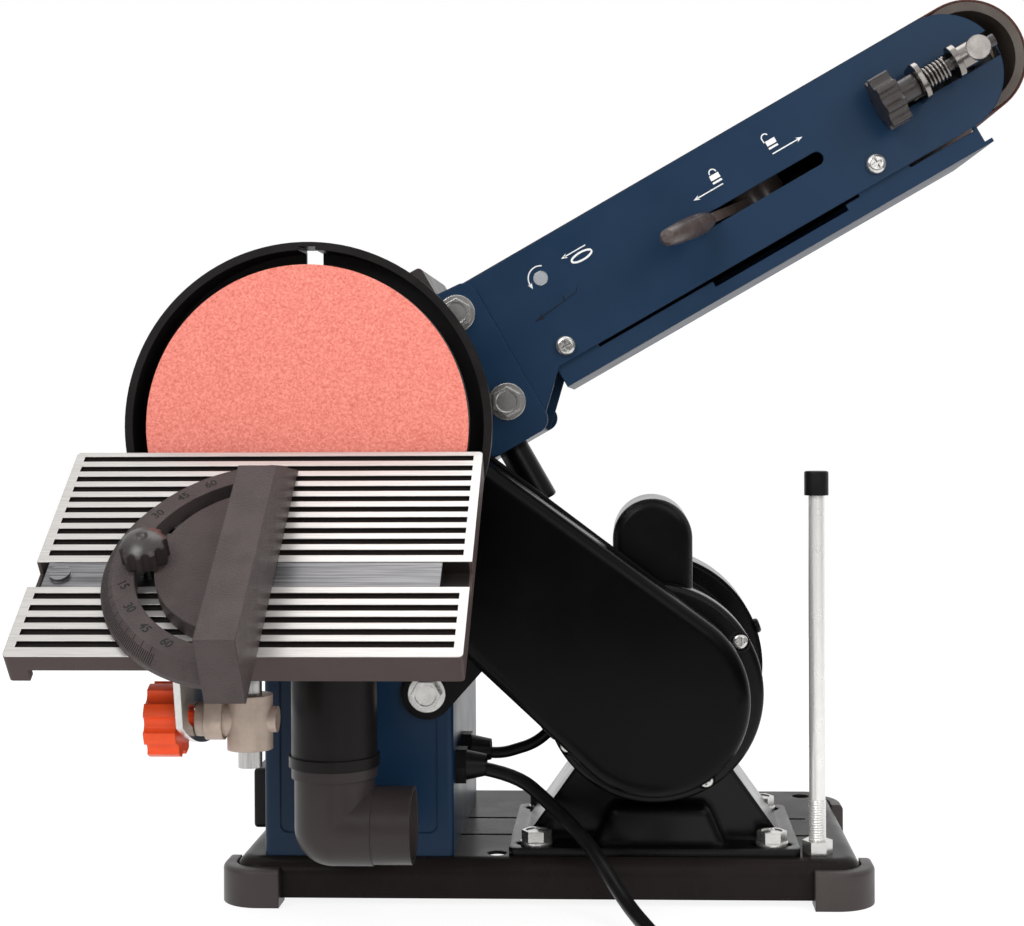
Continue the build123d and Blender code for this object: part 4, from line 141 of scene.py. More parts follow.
def paintGroup(s):
    # fine noise for height, broad noise that mixes two colours and moves the roughness
    group, entry, leave = makeGroup("paintSkin", [
        ("Base", "Color", (0.5, 0.5, 0.5, 1)), ("Other", "Color", (0.4, 0.4, 0.4, 1)),
        ("Scale", "Float", 600.0), ("Broad", "Float", 40.0), ("Mottle", "Float", 0.4),
        ("Rough", "Float", 0.4), ("Spread", "Float", 0.1)],
        [("Colour", "Color"), ("Roughness", "Float"), ("Height", "Float")])
    where = put(group, "TexCoord").outputs["Object"]
    fine = put(group, "TexNoise", {"Vector": where, "Scale": entry.outputs["Scale"], **s["fine"]})
    broad = put(group, "TexNoise", {"Vector": where, "Scale": entry.outputs["Broad"], **s["broad"]})
    cloud = ramp(group, broad.outputs[0], *s["cloud"])
    share = mathNode(group, "MULTIPLY", cloud, entry.outputs["Mottle"])
    colour = mixColour(group, share, entry.outputs["Base"], entry.outputs["Other"])
    shift = mathNode(group, "MULTIPLY", mathNode(group, "SUBTRACT", cloud, 0.5), entry.outputs["Spread"])
    group.links.new(colour, leave.inputs["Colour"])
    group.links.new(mathNode(group, "ADD", entry.outputs["Rough"], shift), leave.inputs["Roughness"])
    group.links.new(fine.outputs[0], leave.inputs["Height"])
    return group


lineSet = {"detail": 2.0, "band": (0.3, 0.7), "roughGain": 0.12, "depth": 0.0002}


def lineGroup(s):
    # noise squeezed by a stretch vector, so that it runs in lines across the wide direction
    group, entry, leave = makeGroup("toolLines", [
        ("Stretch", "Vector", (30.0, 900.0, 900.0)), ("Turn", "Vector", (0.0, 0.0, 0.0))],
        [("Lines", "Float")])
    where = put(group, "TexCoord").outputs["Object"]
    turned = put(group, "Mapping", {"Vector": where, "Rotation": entry.outputs["Turn"]}, vector_type="POINT")
    scaled = put(group, "VectorMath", {0: turned.outputs[0], 1: entry.outputs["Stretch"]},
                 operation="MULTIPLY")
    lines = put(group, "TexNoise", {"Vector": scaled.outputs[0], "Scale": 1.0, "Detail": s["detail"]})
    group.links.new(lines.outputs[0], leave.inputs["Lines"])
    return group


gritSet = {
    "speck": {"Scale": 700.0, "Detail": 4.0, "Roughness": 0.7}, "speckBand": (0.25, 0.75), "speckShare": 0.6,
    "tintShare": 0.4, "tintHeight": 0.5, "edge": 0.0004, "specular": 0.35,
}


def gritGroup(s):
    # packed grains: cell distance for height, cell colour and fine noise for the tint of each grain
    group, entry, leave = makeGroup("gritCells", [
        ("Deep", "Color", (0.3, 0.1, 0.1, 1)), ("Light", "Color", (0.8, 0.4, 0.4, 1)),
        ("Scale", "Float", 1400.0)],
        [("Colour", "Color"), ("Height", "Float")])
    where = put(group, "TexCoord").outputs["Object"]
    cells = put(group, "TexVoronoi", {"Vector": where, "Scale": entry.outputs["Scale"]})
    tint = put(group, "SeparateColor", {0: cells.outputs["Color"]}).outputs[0]
    speck = put(group, "TexNoise", {"Vector": where, **s["speck"]}).outputs[0]
    fine = mathNode(group, "MULTIPLY", ramp(group, speck, *s["speckBand"]), s["speckShare"])
    share = mathNode(group, "ADD", mathNode(group, "MULTIPLY", tint, s["tintShare"]), fine)
    crown = mathNode(group, "SUBTRACT", 1.0, cells.outputs["Distance"])
    height = mathNode(group, "ADD", crown, mathNode(group, "MULTIPLY", tint, s["tintHeight"]))
    colour = mixColour(group, share, entry.outputs["Deep"], entry.outputs["Light"])
    group.links.new(colour, leave.inputs["Colour"])
    group.links.new(height, leave.inputs["Height"])
    return group


paintSkin = paintGroup(skinSet)
toolLines = lineGroup(lineSet)
gritCells = gritGroup(gritSet)


def startMaterial(name, edge, sockets):
    # an empty material with one Principled shader, and a Bevel node that rounds the sharp edges in the light
    material = bpy.data.materials.new(name)
    material.use_nodes = True
    tree = material.node_tree
    tree.nodes.clear()
    shader = put(tree, "BsdfPrincipled", sockets)
    put(tree, "OutputMaterial", {"Surface": shader.outputs[0]})
    rounded = put(tree, "Bevel", {"Radius": edge}, samples=4)
    return material, tree, shader, rounded.outputs[0]


def bump(tree, height, strength, distance, normal):
    # the normal tilted by the slope of the height
    return put(tree, "Bump", {"Height": height, "Strength": strength, "Distance": distance,
                              "Normal": normal}).outputs[0]


def coated(name, base, other, rough, spread, scale, broad, mottle, strength, depth=0.0002, edge=0.0006,
           metallic=0.0, specular=0.5):
    # paint, plastic, rubber or plated metal: two colours in broad clouds over a fine skin
    material, tree, shader, normal = startMaterial(name, edge, {
        "Metallic": metallic, "Specular IOR Level": specular})
    skin = put(tree, "Group", {
        "Base": (*base, 1), "Other": (*other, 1), "Scale": scale, "Broad": broad, "Mottle": mottle,
        "Rough": rough, "Spread": spread}, node_tree=paintSkin)
    tree.links.new(skin.outputs["Colour"], shader.inputs["Base Color"])
    tree.links.new(skin.outputs["Roughness"], shader.inputs["Roughness"])
    tree.links.new(bump(tree, skin.outputs["Height"], strength, depth, normal), shader.inputs["Normal"])
    return material


def lined(name, base, other, rough, stretch, turn=(0, 0, 0), strength=0.12, edge=0.0005):
    # bare machined metal: tool lines move colour, roughness and height together
    material, tree, shader, normal = startMaterial(name, edge, {"Metallic": 1.0})
    lines = put(tree, "Group", {"Stretch": stretch, "Turn": turn}, node_tree=toolLines).outputs[0]
    mask = ramp(tree, lines, *lineSet["band"])
    gain = mathNode(tree, "MULTIPLY", mask, lineSet["roughGain"])
    tree.links.new(mixColour(tree, mask, (*base, 1), (*other, 1)), shader.inputs["Base Color"])
    tree.links.new(mathNode(tree, "ADD", rough, gain), shader.inputs["Roughness"])
    tree.links.new(bump(tree, lines, strength, lineSet["depth"], normal), shader.inputs["Normal"])
    return material


def gritted(name, deep, light, scale, rough, strength=0.6, depth=0.0004):
    # abrasive cloth: packed grains from a deep to a light colour
    material, tree, shader, normal = startMaterial(name, gritSet["edge"], {
        "Roughness": rough, "Specular IOR Level": gritSet["specular"]})
    grit = put(tree, "Group", {"Deep": (*deep, 1), "Light": (*light, 1), "Scale": scale}, node_tree=gritCells)
    tree.links.new(grit.outputs["Colour"], shader.inputs["Base Color"])
    tree.links.new(bump(tree, grit.outputs["Height"], strength, depth, normal), shader.inputs["Normal"])
    return material


# table: bright milled lands over painted grooves and sides, told apart by height above the table's face
tableSet = {
    "edge": (0.0, -144.98, 223.88), "lean": 38.0,
    "forwardWay": (0.0, -0.788, -0.6157), "upWay": (0.0, -0.6157, 0.788),
    "landDepth": 0.25, "across": (-209.5, -26.5), "forward": (0.5, 128.0), "deepest": -8.5, "blend": 0.3,
    "floorBlend": 1.0, "stretch": (40.0, 3000.0, 3000.0),
    "milled": ((0.64, 0.62, 0.60, 1), (0.51, 0.49, 0.47, 1)),
    "milledMetal": 0.7, "milledRough": 0.3, "recessShade": (0.0105, 0.0078, 0.0075, 1),
    "paint": {"Base": (0.0600, 0.0420, 0.0400, 1), "Other": (0.0720, 0.0520, 0.0500, 1), "Scale": 1500.0,
              "Broad": 60.0, "Mottle": 0.7, "Rough": 0.42, "Spread": 0.1},
    "bump": (0.15, 0.0002), "round": 0.0004, "specular": 0.2,
}
tableTurn = (-math.radians(tableSet["lean"]), 0, 0)


def tableFinish(s):
    # height = object place turned by the lean about X, from the back edge; above -landDepth is bare metal,
    # below it inside the outline the floors of the grooves and of the slot take a darker colour as painted shade
    material, tree, shader, normal = startMaterial("aluminium", s["round"], {
        "Specular IOR Level": s["specular"]})
    where = put(tree, "TexCoord").outputs["Object"]
    low = put(tree, "VectorMath", {0: where, 1: tuple(np.array(s["edge"]) * mm)}, operation="SUBTRACT")
    flat = put(tree, "Mapping", {"Vector": low.outputs[0], "Rotation": tableTurn}, vector_type="POINT")
    across, back, height = put(tree, "SeparateXYZ", {0: flat.outputs[0]}).outputs
    inside = ramp(tree, height, (s["deepest"] - s["floorBlend"]) * mm, s["deepest"] * mm)
    forward = mathNode(tree, "MULTIPLY", back, -1.0)
    for value, (start, end) in ((across, s["across"]), (forward, s["forward"])):
        inside = mathNode(tree, "MULTIPLY", inside, ramp(tree, value, (start - s["blend"]) * mm, start * mm))
        inside = mathNode(tree, "MULTIPLY", inside, ramp(tree, value, (end + s["blend"]) * mm, end * mm))
    bare = ramp(tree, height, -s["landDepth"] * mm, -s["landDepth"] * mm * 0.5)
    lines = put(tree, "Group", {"Stretch": s["stretch"], "Turn": tableTurn}, node_tree=toolLines)
    bright = mixColour(tree, ramp(tree, lines.outputs[0], *lineSet["band"]), *s["milled"])
    skin = put(tree, "Group", s["paint"], node_tree=paintSkin)
    # inside the outline the paint gives way to a near black colour: painted shade in the grooves and the slot
    painted = mixColour(tree, inside, skin.outputs["Colour"], s["recessShade"])
    rough = put(tree, "Mix", {0: bare, 2: skin.outputs["Roughness"], 3: s["milledRough"]})
    tree.links.new(mixColour(tree, bare, painted, bright), shader.inputs["Base Color"])
    tree.links.new(mathNode(tree, "MULTIPLY", bare, s["milledMetal"]), shader.inputs["Metallic"])
    tree.links.new(rough.outputs[0], shader.inputs["Roughness"])
    tree.links.new(bump(tree, skin.outputs["Height"], *s["bump"], normal), shader.inputs["Normal"])
    return material


# every finish by the values of the function that makes it; the CAD slots carry the same names
coatedSet = {
    "black_enamel": dict(base=(0.0015, 0.0013, 0.0015), other=(0.0024, 0.0021, 0.0022), rough=0.26,
        spread=0.08, scale=420.0, broad=30.0, mottle=0.6, strength=0.08, edge=0.0022, specular=0.14),
    # base tray: the same black enamel drawn lighter in colour with little specular, a painted sheen of the
    # floor's reflection
    "tray_enamel_painted_sheen": dict(base=(0.0135, 0.0103, 0.0101), other=(0.0185, 0.0142, 0.0139), rough=0.28,
        spread=0.10, scale=420.0, broad=26.0, mottle=0.7, strength=0.12, edge=0.0015, specular=0.05),
    "navy_enamel": dict(base=(0.0054, 0.0222, 0.0525), other=(0.0070, 0.0262, 0.0605), rough=0.34,
        spread=0.08, scale=380.0, broad=25.0, mottle=0.7, strength=0.12, edge=0.001, specular=0.22),
    "cover_navy": dict(base=(0.0054, 0.0222, 0.0525), other=(0.0070, 0.0262, 0.0605), rough=0.42,
        spread=0.08, scale=380.0, broad=25.0, mottle=0.7, strength=0.12, edge=0.001, specular=0.22),
    "motor_enamel": dict(base=(0.0018, 0.0016, 0.0018), other=(0.0030, 0.0027, 0.0028), rough=0.24,
        spread=0.10, scale=330.0, broad=28.0, mottle=0.6, strength=0.14, edge=0.0018, specular=0.2),
    "guard_enamel": dict(base=(0.0009, 0.0008, 0.0009), other=(0.0015, 0.0013, 0.0014), rough=0.22,
        spread=0.06, scale=420.0, broad=30.0, mottle=0.6, strength=0.06, edge=0.004, specular=0.12),
    "foot_enamel": dict(base=(0.0016, 0.0014, 0.0015), other=(0.0028, 0.0025, 0.0026), rough=0.20,
        spread=0.08, scale=330.0, broad=28.0, mottle=0.6, strength=0.10, edge=0.0035, specular=0.22),
    "foot_rubber": dict(base=(0.038, 0.0290, 0.0278), other=(0.052, 0.0410, 0.0394), rough=0.40,
        spread=0.14, scale=1500.0, broad=60.0, mottle=0.7, strength=0.22, edge=0.0015, specular=0.4),
    "dark_plastic": dict(base=(0.0330, 0.0255, 0.0260), other=(0.0420, 0.0330, 0.0330), rough=0.36,
        spread=0.1, scale=2200.0, broad=50.0, mottle=0.6, strength=0.18, specular=0.25),
    "guard_plastic": dict(base=(0.0075, 0.0062, 0.0062), other=(0.0115, 0.0096, 0.0095), rough=0.38,
        spread=0.1, scale=1900.0, broad=50.0, mottle=0.6, strength=0.2, specular=0.18),
    "black_plastic": dict(base=(0.0060, 0.0052, 0.0052), other=(0.0095, 0.0084, 0.0082), rough=0.38,
        spread=0.1, scale=1800.0, broad=60.0, mottle=0.6, strength=0.2, specular=0.2),
    "knob_plastic": dict(base=(0.0260, 0.0205, 0.0200), other=(0.0380, 0.0305, 0.0295), rough=0.30,
        spread=0.1, scale=1800.0, broad=90.0, mottle=0.6, strength=0.12, edge=0.0012, specular=0.6),
    "lever_plastic": dict(base=(0.0560, 0.0415, 0.0375), other=(0.0820, 0.0620, 0.0560), rough=0.24,
        spread=0.1, scale=1800.0, broad=110.0, mottle=0.7, strength=0.12, specular=0.5),
    "green_plastic": dict(base=(0.012, 0.27, 0.06), other=(0.018, 0.32, 0.08), rough=0.3, spread=0.06,
        scale=1500.0, broad=80.0, mottle=0.6, strength=0.08),
    "red_plastic": dict(base=(0.5, 0.013, 0.014), other=(0.58, 0.02, 0.018), rough=0.3, spread=0.06,
        scale=1500.0, broad=80.0, mottle=0.6, strength=0.08),
    "orange_plastic": dict(base=(0.94, 0.100, 0.024), other=(0.86, 0.080, 0.018), rough=0.34, spread=0.08,
        scale=1700.0, broad=90.0, mottle=0.6, strength=0.12, specular=0.3),
    "cable": dict(base=(0.0060, 0.0054, 0.0055), other=(0.0095, 0.0086, 0.0086), rough=0.36, spread=0.1,
        scale=1400.0, broad=90.0, mottle=0.7, strength=0.15, specular=0.25),
    "zinc": dict(base=(0.68, 0.67, 0.65), other=(0.60, 0.585, 0.56), rough=0.22, spread=0.06, scale=900.0,
        broad=160.0, mottle=0.5, strength=0.02, metallic=0.9),
    "rod_steel": dict(base=(0.86, 0.845, 0.815), other=(0.80, 0.785, 0.75), rough=0.30, spread=0.06,
        scale=900.0, broad=160.0, mottle=0.5, strength=0.004, edge=0.0, metallic=0.55),
    # dark steel: the spring's own colour, and on the zinc tracking bracket a painted shade of dark reflections
    "spring_steel_and_shade": dict(base=(0.30, 0.28, 0.265), other=(0.24, 0.22, 0.205), rough=0.24, spread=0.08,
        scale=900.0, broad=160.0, mottle=0.5, strength=0.04, metallic=1.0),
    "roller_grey": dict(base=(0.090, 0.074, 0.064), other=(0.066, 0.054, 0.047), rough=0.45, spread=0.1,
        scale=900.0, broad=60.0, mottle=0.6, strength=0.1, metallic=0.2, specular=0.3),
    "drive_rubber": dict(base=(0.010, 0.010, 0.010), other=(0.018, 0.017, 0.016), rough=0.7, spread=0.1,
        scale=1300.0, broad=90.0, mottle=0.7, strength=0.35),
    "beige_cast": dict(base=(0.52, 0.415, 0.345), other=(0.40, 0.315, 0.260), rough=0.42, spread=0.16,
        scale=1100.0, broad=110.0, mottle=0.7, strength=0.30, metallic=0.35),
    "cast_grey": dict(base=(0.0520, 0.0395, 0.0388), other=(0.0760, 0.0585, 0.0575), rough=0.44,
        spread=0.14, scale=1300.0, broad=70.0, mottle=0.9, strength=0.9, depth=0.0006, edge=0.0009,
        specular=0.25),
    "sign_white": dict(base=(0.80, 0.80, 0.80), other=(0.72, 0.73, 0.74), rough=0.5, spread=0.08,
        scale=1600.0, broad=300.0, mottle=0.5, strength=0.1),
    # pressed arrow: a darker navy as painted shade in the pressing
    "pressed_arrow_shade": dict(base=(0.0022, 0.0045, 0.011), other=(0.004, 0.008, 0.020), rough=0.3, spread=0.08,
        scale=900.0, broad=200.0, mottle=0.6, strength=0.1, specular=0.5),
    # mitre scale: black as painted shade in the engraved ticks and numbers
    "scale_black": dict(base=(0.0030, 0.0026, 0.0026), other=(0.0045, 0.0040, 0.0040), rough=0.5, spread=0.1,
        scale=1500.0, broad=200.0, mottle=0.5, strength=0.1, specular=0.3),
}
linedSet = {
    # mitre bar: galvanised, drawn much darker than the zinc finish as painted shade; the tool lines are its own
    "bar_zinc_shaded": dict(base=(0.115, 0.115, 0.120), other=(0.27, 0.27, 0.275), rough=0.28,
        stretch=(25.0, 1100.0, 1100.0), turn=tableTurn),
    "steel": dict(base=(0.62, 0.61, 0.60), other=(0.50, 0.49, 0.48), rough=0.26,
        stretch=(2500.0, 2500.0, 60.0)),
    "bearing_steel": dict(base=(0.62, 0.62, 0.62), other=(0.5, 0.5, 0.5), rough=0.2,
        stretch=(2500.0, 60.0, 2500.0)),
    "winding": dict(base=(0.72, 0.32, 0.14), other=(0.5, 0.2, 0.08), rough=0.3,
        stretch=(900.0, 60.0, 900.0), strength=0.5),
}
grittedSet = {
    "disc_cloth": dict(deep=(0.60, 0.125, 0.092), light=(0.90, 0.325, 0.262), scale=1300.0, rough=0.85,
        strength=0.5, depth=0.0004),
    "belt_cloth": dict(deep=(0.040, 0.014, 0.010), light=(0.11, 0.036, 0.025), scale=1900.0, rough=0.8),
}
# nodes whose finish differs from the rest of their slot; the lighter enamel of the base tray is painted sheen,
# the darker steel of the tracking bracket and of the mitre bar is painted shade
nodeFinish = {
    "base_tray": "tray_enamel_painted_sheen", "disc_guard": "guard_plastic", "drum_guard": "dark_plastic",
    "switch_housing": "guard_plastic", "mitre_knob": "knob_plastic", "tracking_knob": "knob_plastic",
    # tracking_bracket is zinc; its darker steel colour is painted shade
    "tension_lever": "lever_plastic", "tracking_spring": "spring_steel_and_shade", "tracking_bracket": "spring_steel_and_shade",
    "mitre_bar": "bar_zinc_shaded", "idler_roller": "roller_grey", "idler_yoke": "black_enamel",
    "lower_cover": "cover_navy", "stop_rod_cap": "black_plastic", "idler_axle": "spring_steel_and_shade",
    "belt_guard_cover": "guard_enamel", "capacitor_cover": "foot_enamel", "motor_foot": "foot_enamel",
    "stop_rod": "rod_steel", "support_bar": "foot_enamel",
}


finishes = {name: coated(name, **values) for name, values in coatedSet.items()}
finishes.update({name: lined(name, **values) for name, values in linedSet.items()})
finishes.update({name: gritted(name, **values) for name, values in grittedSet.items()})
finishes["aluminium"] = tableFinish(tableSet)
print("finishes:", len(finishes))

for name, part in nodes.items():
    for place in part.material_slots:
        wanted = nodeFinish.get(name, place.material.name.split(".")[0] if place.material else "")
        if wanted in finishes:
            place.material = finishes[wanted]
        else:
            print("no finish for", name, wanted)

# mains lead: from the gland down to the floor, forward, then a coil of five turns, then the plug; the spans of
# the coil's steps are in turns
leadSet = {
    "diameter": 7.0, "rest": 4.0, "length": 1.72, "order": 3, "roundSteps": 6, "curveSteps": 8,
    "route": [(-47, -57.5, 64.3), (-18, -57.5, 61), (2, -67, 46), (22, -94, 33), (39, -118, 11),
              (52, -146, 4), (59, -174, 4), (62.5, -202, 4), (62.6, -230, 4)],
    "centre": (12.0, -258.0), "outer": 49.5, "pitch": 7.5, "stepsPerTurn": 16, "turns": 5.25,
    "inwards": [(0.75, 1.0), (1.75, 2.0)], "upwards": [(2.5, 2.75)], "outwards": [(3.25, 3.5), (4.25, 4.5)],
    "tail": [(-11, -308, 12), (-34, -309.5, 18.6), (-57, -310.5, 19.4)],
}


def eased(turn, spans):
    # sum of smooth steps, one for each span of turns
    start, end = np.array(spans).T
    t = np.clip((turn[:, None] - start) / (end - start), 0, 1)
    return (t * t * (3 - 2 * t)).sum(1)


def coilPoints(s):
    # x, y on a circle that runs clockwise; the radius steps in and out a pitch, the height steps up a pitch
    turn = np.arange(0, s["turns"] + 1e-6, 1 / s["stepsPerTurn"])
    radius = s["outer"] - s["pitch"] * (eased(turn, s["inwards"]) - eased(turn, s["outwards"]))
    radius = radius / math.cos(math.pi / s["stepsPerTurn"])  # control points stand outside the curve
    angle = -2 * math.pi * turn
    return np.stack([s["centre"][0] + radius * np.cos(angle), s["centre"][1] + radius * np.sin(angle),
                     s["rest"] + s["pitch"] * eased(turn, s["upwards"])], 1)


def cordCurve(name, points, s, material):
    # one open NURBS spline with the route as its control points
    curve = bpy.data.curves.new(name, "CURVE")
    curve.dimensions = "3D"
    curve.bevel_depth = s["diameter"] / 2 * mm
    curve.bevel_resolution = s["roundSteps"]
    curve.resolution_u = s["curveSteps"]
    curve.use_fill_caps = True
    spline = curve.splines.new("NURBS")
    spline.points.add(len(points) - 1)
    flat = np.concatenate([np.asarray(points, float) * mm, np.ones((len(points), 1))], 1)
    spline.points.foreach_set("co", flat.ravel())
    spline.order_u = s["order"]
    spline.use_endpoint_u = True
    curve.materials.append(material)
    piece = bpy.data.objects.new(name, curve)
    scene.collection.objects.link(piece)
    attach(piece, "frame")
    return piece


leadPoints = np.concatenate([leadSet["route"], coilPoints(leadSet), leadSet["tail"]])
mainsCord = cordCurve("mains_cord", leadPoints, leadSet, finishes["cable"])
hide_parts("mains_lead", "mains_coil")

# tie round the coil
tieSet = {
    "angle": 190.0, "low": 0.25, "high": 15.8, "inner": 30.2, "outer": 53.8, "corner": 3.6, "width": 7.0,
    "thick": 0.5, "around": 64,
}


def coilTie(s):
    # a flat band along a loop: the loop is a rounded rectangle in the plane through the coil's axis
    turn = np.linspace(0, 2 * math.pi, s["around"], endpoint=False)
    middle = np.array([(s["inner"] + s["outer"]) / 2, (s["low"] + s["high"]) / 2])
    half = np.array([(s["outer"] - s["inner"]) / 2, (s["high"] - s["low"]) / 2])
    direction = np.stack([np.cos(turn), np.sin(turn)], 1)
    loop = middle + np.sign(direction) * (half - s["corner"]) + direction * s["corner"]
    section = np.array([(-0.5, 0.0), (0.5, 0.0), (0.5, -1.0), (-0.5, -1.0)])  # in widths and thicknesses
    a = math.radians(s["angle"])
    outward = np.array([math.cos(a), math.sin(a), 0.0])
    side = np.array([-math.sin(a), math.cos(a), 0.0])
    radius, height = np.moveaxis(loop[:, None] + direction[:, None] * section[None, :, 1:] * s["thick"], 2, 0)
    beside = (section[None, :, 0] * s["width"])[..., None] * side
    centre = np.array([*leadSet["centre"], 0.0])
    points = centre + radius[..., None] * outward + beside + height[..., None] * np.array([0, 0, 1.0])
    return points.reshape(-1, 3), gridFaces(s["around"], len(section), True, True)


cordTie = newMesh("cord_tie", *coilTie(tieSet), finishes["black_plastic"], "frame", "black_plastic")
print("cord placed")

# printed signs on the arm's front face: plain arrows, padlocks, a belt loop and a disc, in arm coordinates;
# an arrow's head is given as length and half width, a padlock's bars and bow in shares of its size
signSet = {
    "hub": (-107.5, 235.5), "lean": 29.7, "face": -64.0, "lift": 0.10, "depth": 0.08, "line": 0.62,
    "arrows": [((258.0, 7.0), (275.0, 7.0)), ((229.5, 6.6), (212.5, 6.6)), ((155.0, 14.6), (141.0, 14.6))],
    "arrowSteps": 8, "arrowHead": (3.4, 1.25),
    "locks": [((260.2, 11.2), 0.9), ((227.6, 10.2), 0.0)], "lockSize": (5.2, 4.9),
    "lockBars": [(0.30, 0.55), (-0.25, 0.22)], "bowRadius": 0.34, "bowHeight": 0.75, "shutSpan": (-8, 188),
    "openSpan": (20, 188), "openAside": 0.32, "openUp": 0.25, "openFoot": 0.5, "openLean": 0.1, "bowSteps": 20,
    "loop": (150.7, 10.7), "loopHalf": (5.59636, 1.938), "loopLine": 1.054, "loopSteps": 40,
    "disc": (127.5, 11.4), "discRadius": 3.6, "discRows": (0.85, 7), "discLine": 0.465,
    "turnRadius": 6.2, "turnSpan": (55, 185), "turnTip": (0.1, -2.2), "turnBack": (0.0, 1.0),
    "turnHead": (3.0, 1.25),
}
# arrow pressed into the drum's end of the arm, drawn as a dark sheet just off the face as painted shade in the
# pressing; the strokes of its tail are along and beside it, from the tail
pressedSet = {
    "tail": (141.0, -3.4), "tip": (114.0, -6.2), "lift": 0.06, "depth": 0.05,
    "shaft": (8.0, 4.0), "shaftSteps": 6, "shaftLine": 0.55, "head": (6.0, 1.6),
    "feathers": [((0.0, -2.0), (1.5, 0.0), (7.0, 0.0)), ((8.0, -3.0), (8.6, 0.0))], "featherLine": 0.5,
}


def strokeBand(path, width):
    # a path with width: each point moved half the width to both sides along the path's normal
    path = np.asarray(path, float)
    way = np.gradient(path, axis=0)
    way = way / np.linalg.norm(way, axis=1)[:, None]
    side = np.stack([-way[:, 1], way[:, 0]], 1) * width / 2
    return np.stack([path - side, path + side], 1).reshape(-1, 2), gridFaces(len(path), 2)[:, ::-1]


def arcPath(centre, radius, start, end, count=24):
    # points at equal angles on a circle, or on an ellipse where the radius is a pair
    turn = np.radians(np.linspace(start, end, count))
    return np.array(centre) + np.stack([np.cos(turn), np.sin(turn)], 1) * radius


def arrowHead(tip, back, length, half, notch=0.7):
    # a notched triangle at the tip, pointing away from back; the notch is a share of the length
    tip, back = np.array(tip, float), np.array(back, float)
    way = (tip - back) / np.linalg.norm(tip - back)
    side = np.array([-way[1], way[0]])
    foot = tip - way * length
    corners = np.array([tip, foot + side * half, tip - way * length * notch, foot - side * half])
    return corners, np.array([[0, 1, 2], [0, 2, 3]])


def onArm(flat, lift):
    # arm coordinates (along, above) to the frame, lifted off the front face
    c, s = math.cos(math.radians(signSet["lean"])), math.sin(math.radians(signSet["lean"]))
    along, above = flat.T
    x = signSet["hub"][0] + along * c - above * s
    z = signSet["hub"][1] + along * s + above * c
    return np.stack([x, np.full(len(flat), signSet["face"] - lift), z], 1)


def joined(bits):
    # several (points, faces) joined into one: face numbers move up by the count of the points before them
    starts = np.cumsum([0] + [len(points) for points, faces in bits])
    moved = [(np.asarray(faces) + start).tolist() for (points, faces), start in zip(bits, starts)]
    return np.concatenate([points for points, faces in bits]), sum(moved, [])


def armSigns(s):
    # all signs as strokes with width and arrow heads
    bits = []
    for tail, tip in s["arrows"]:
        bits.append(strokeBand(np.linspace(tail, tip, s["arrowSteps"])[:-1], s["line"]))
        bits.append(arrowHead(tip, tail, *s["arrowHead"]))
    wide, high = s["lockSize"]
    for (a, p), opened in s["locks"]:
        for middle, share in s["lockBars"]:
            bar = [(a - wide / 2, p + high * middle), (a + wide / 2, p + high * middle)]
            bits.append(strokeBand(bar, high * share))
        centre = (a - wide * s["openAside"] * opened, p + high * (s["bowHeight"] + s["openUp"] * opened))
        start, end = s["openSpan"] if opened else s["shutSpan"]
        bow = arcPath(centre, wide * s["bowRadius"], start, end, s["bowSteps"])
        bits.append(strokeBand(bow, s["line"]))
        if opened:
            foot = (bow[-1][0] + s["openLean"], p + high * s["openFoot"])
            bits.append(strokeBand([bow[-1], foot], s["line"]))
    bits.append(strokeBand(arcPath(s["loop"], s["loopHalf"], 0, 360, s["loopSteps"]), s["loopLine"]))
    last, count = s["discRows"]
    for row in np.linspace(-last, last, count):
        reach = s["discRadius"] * math.sqrt(1 - row * row)
        height = s["disc"][1] + row * s["discRadius"]
        line = [(s["disc"][0] - reach, height), (s["disc"][0] + reach, height)]
        bits.append(strokeBand(line, s["discLine"]))
    turn = arcPath(s["disc"], s["turnRadius"], *s["turnSpan"])
    bits.append(strokeBand(turn, s["line"]))
    bits.append(arrowHead(turn[-1] + s["turnTip"], turn[-1] + s["turnBack"], *s["turnHead"]))
    flat, faces = joined(bits)
    return onArm(flat, s["lift"]), faces


def pressedArrow(s):
    # a shaft with a head at the tip and two strokes at the tail
    tail, tip = np.array(s["tail"]), np.array(s["tip"])
    way = (tip - tail) / np.linalg.norm(tip - tail)
    side = np.array([-way[1], way[0]])
    shaft = np.linspace(tail + way * s["shaft"][0], tip - way * s["shaft"][1], s["shaftSteps"])
    bits = [strokeBand(shaft, s["shaftLine"]), arrowHead(tip, tail, *s["head"])]
    for feather in s["feathers"]:
        along, beside = np.array(feather).T[:, :, None]
        bits.append(strokeBand(tail + way * along + side * beside, s["featherLine"]))
    flat, faces = joined(bits)
    return onArm(flat, s["lift"]), faces


def thickened(piece, depth):
    # a sheet given depth towards its back
    wall = piece.modifiers.new("depth", "SOLIDIFY")
    wall.thickness = depth * mm
    wall.offset = -1.0


armPrint = newMesh("arm_signs", *armSigns(signSet), finishes["sign_white"], "arm", "navy_enamel", False)
# the pressed arrow is a darker sheet on the face: painted shade
armPress = newMesh("arm_pressed_arrow_shade", *pressedArrow(pressedSet), finishes["pressed_arrow_shade"], "arm",
                   "navy_enamel", False)
thickened(armPrint, signSet["depth"])
thickened(armPress, pressedSet["depth"])
print("arm signs placed")

# marks on the two switch buttons: a bar for on, a ring for off
markSet = {
    "marks": [("start_mark", "start_button", "start", "green_plastic"),
              ("stop_mark", "stop_button", "stop", "red_plastic")],
    "bar": 3.2, "ring": 3.0, "ringSteps": 40, "line": 1.1, "lift": 0.12,
}


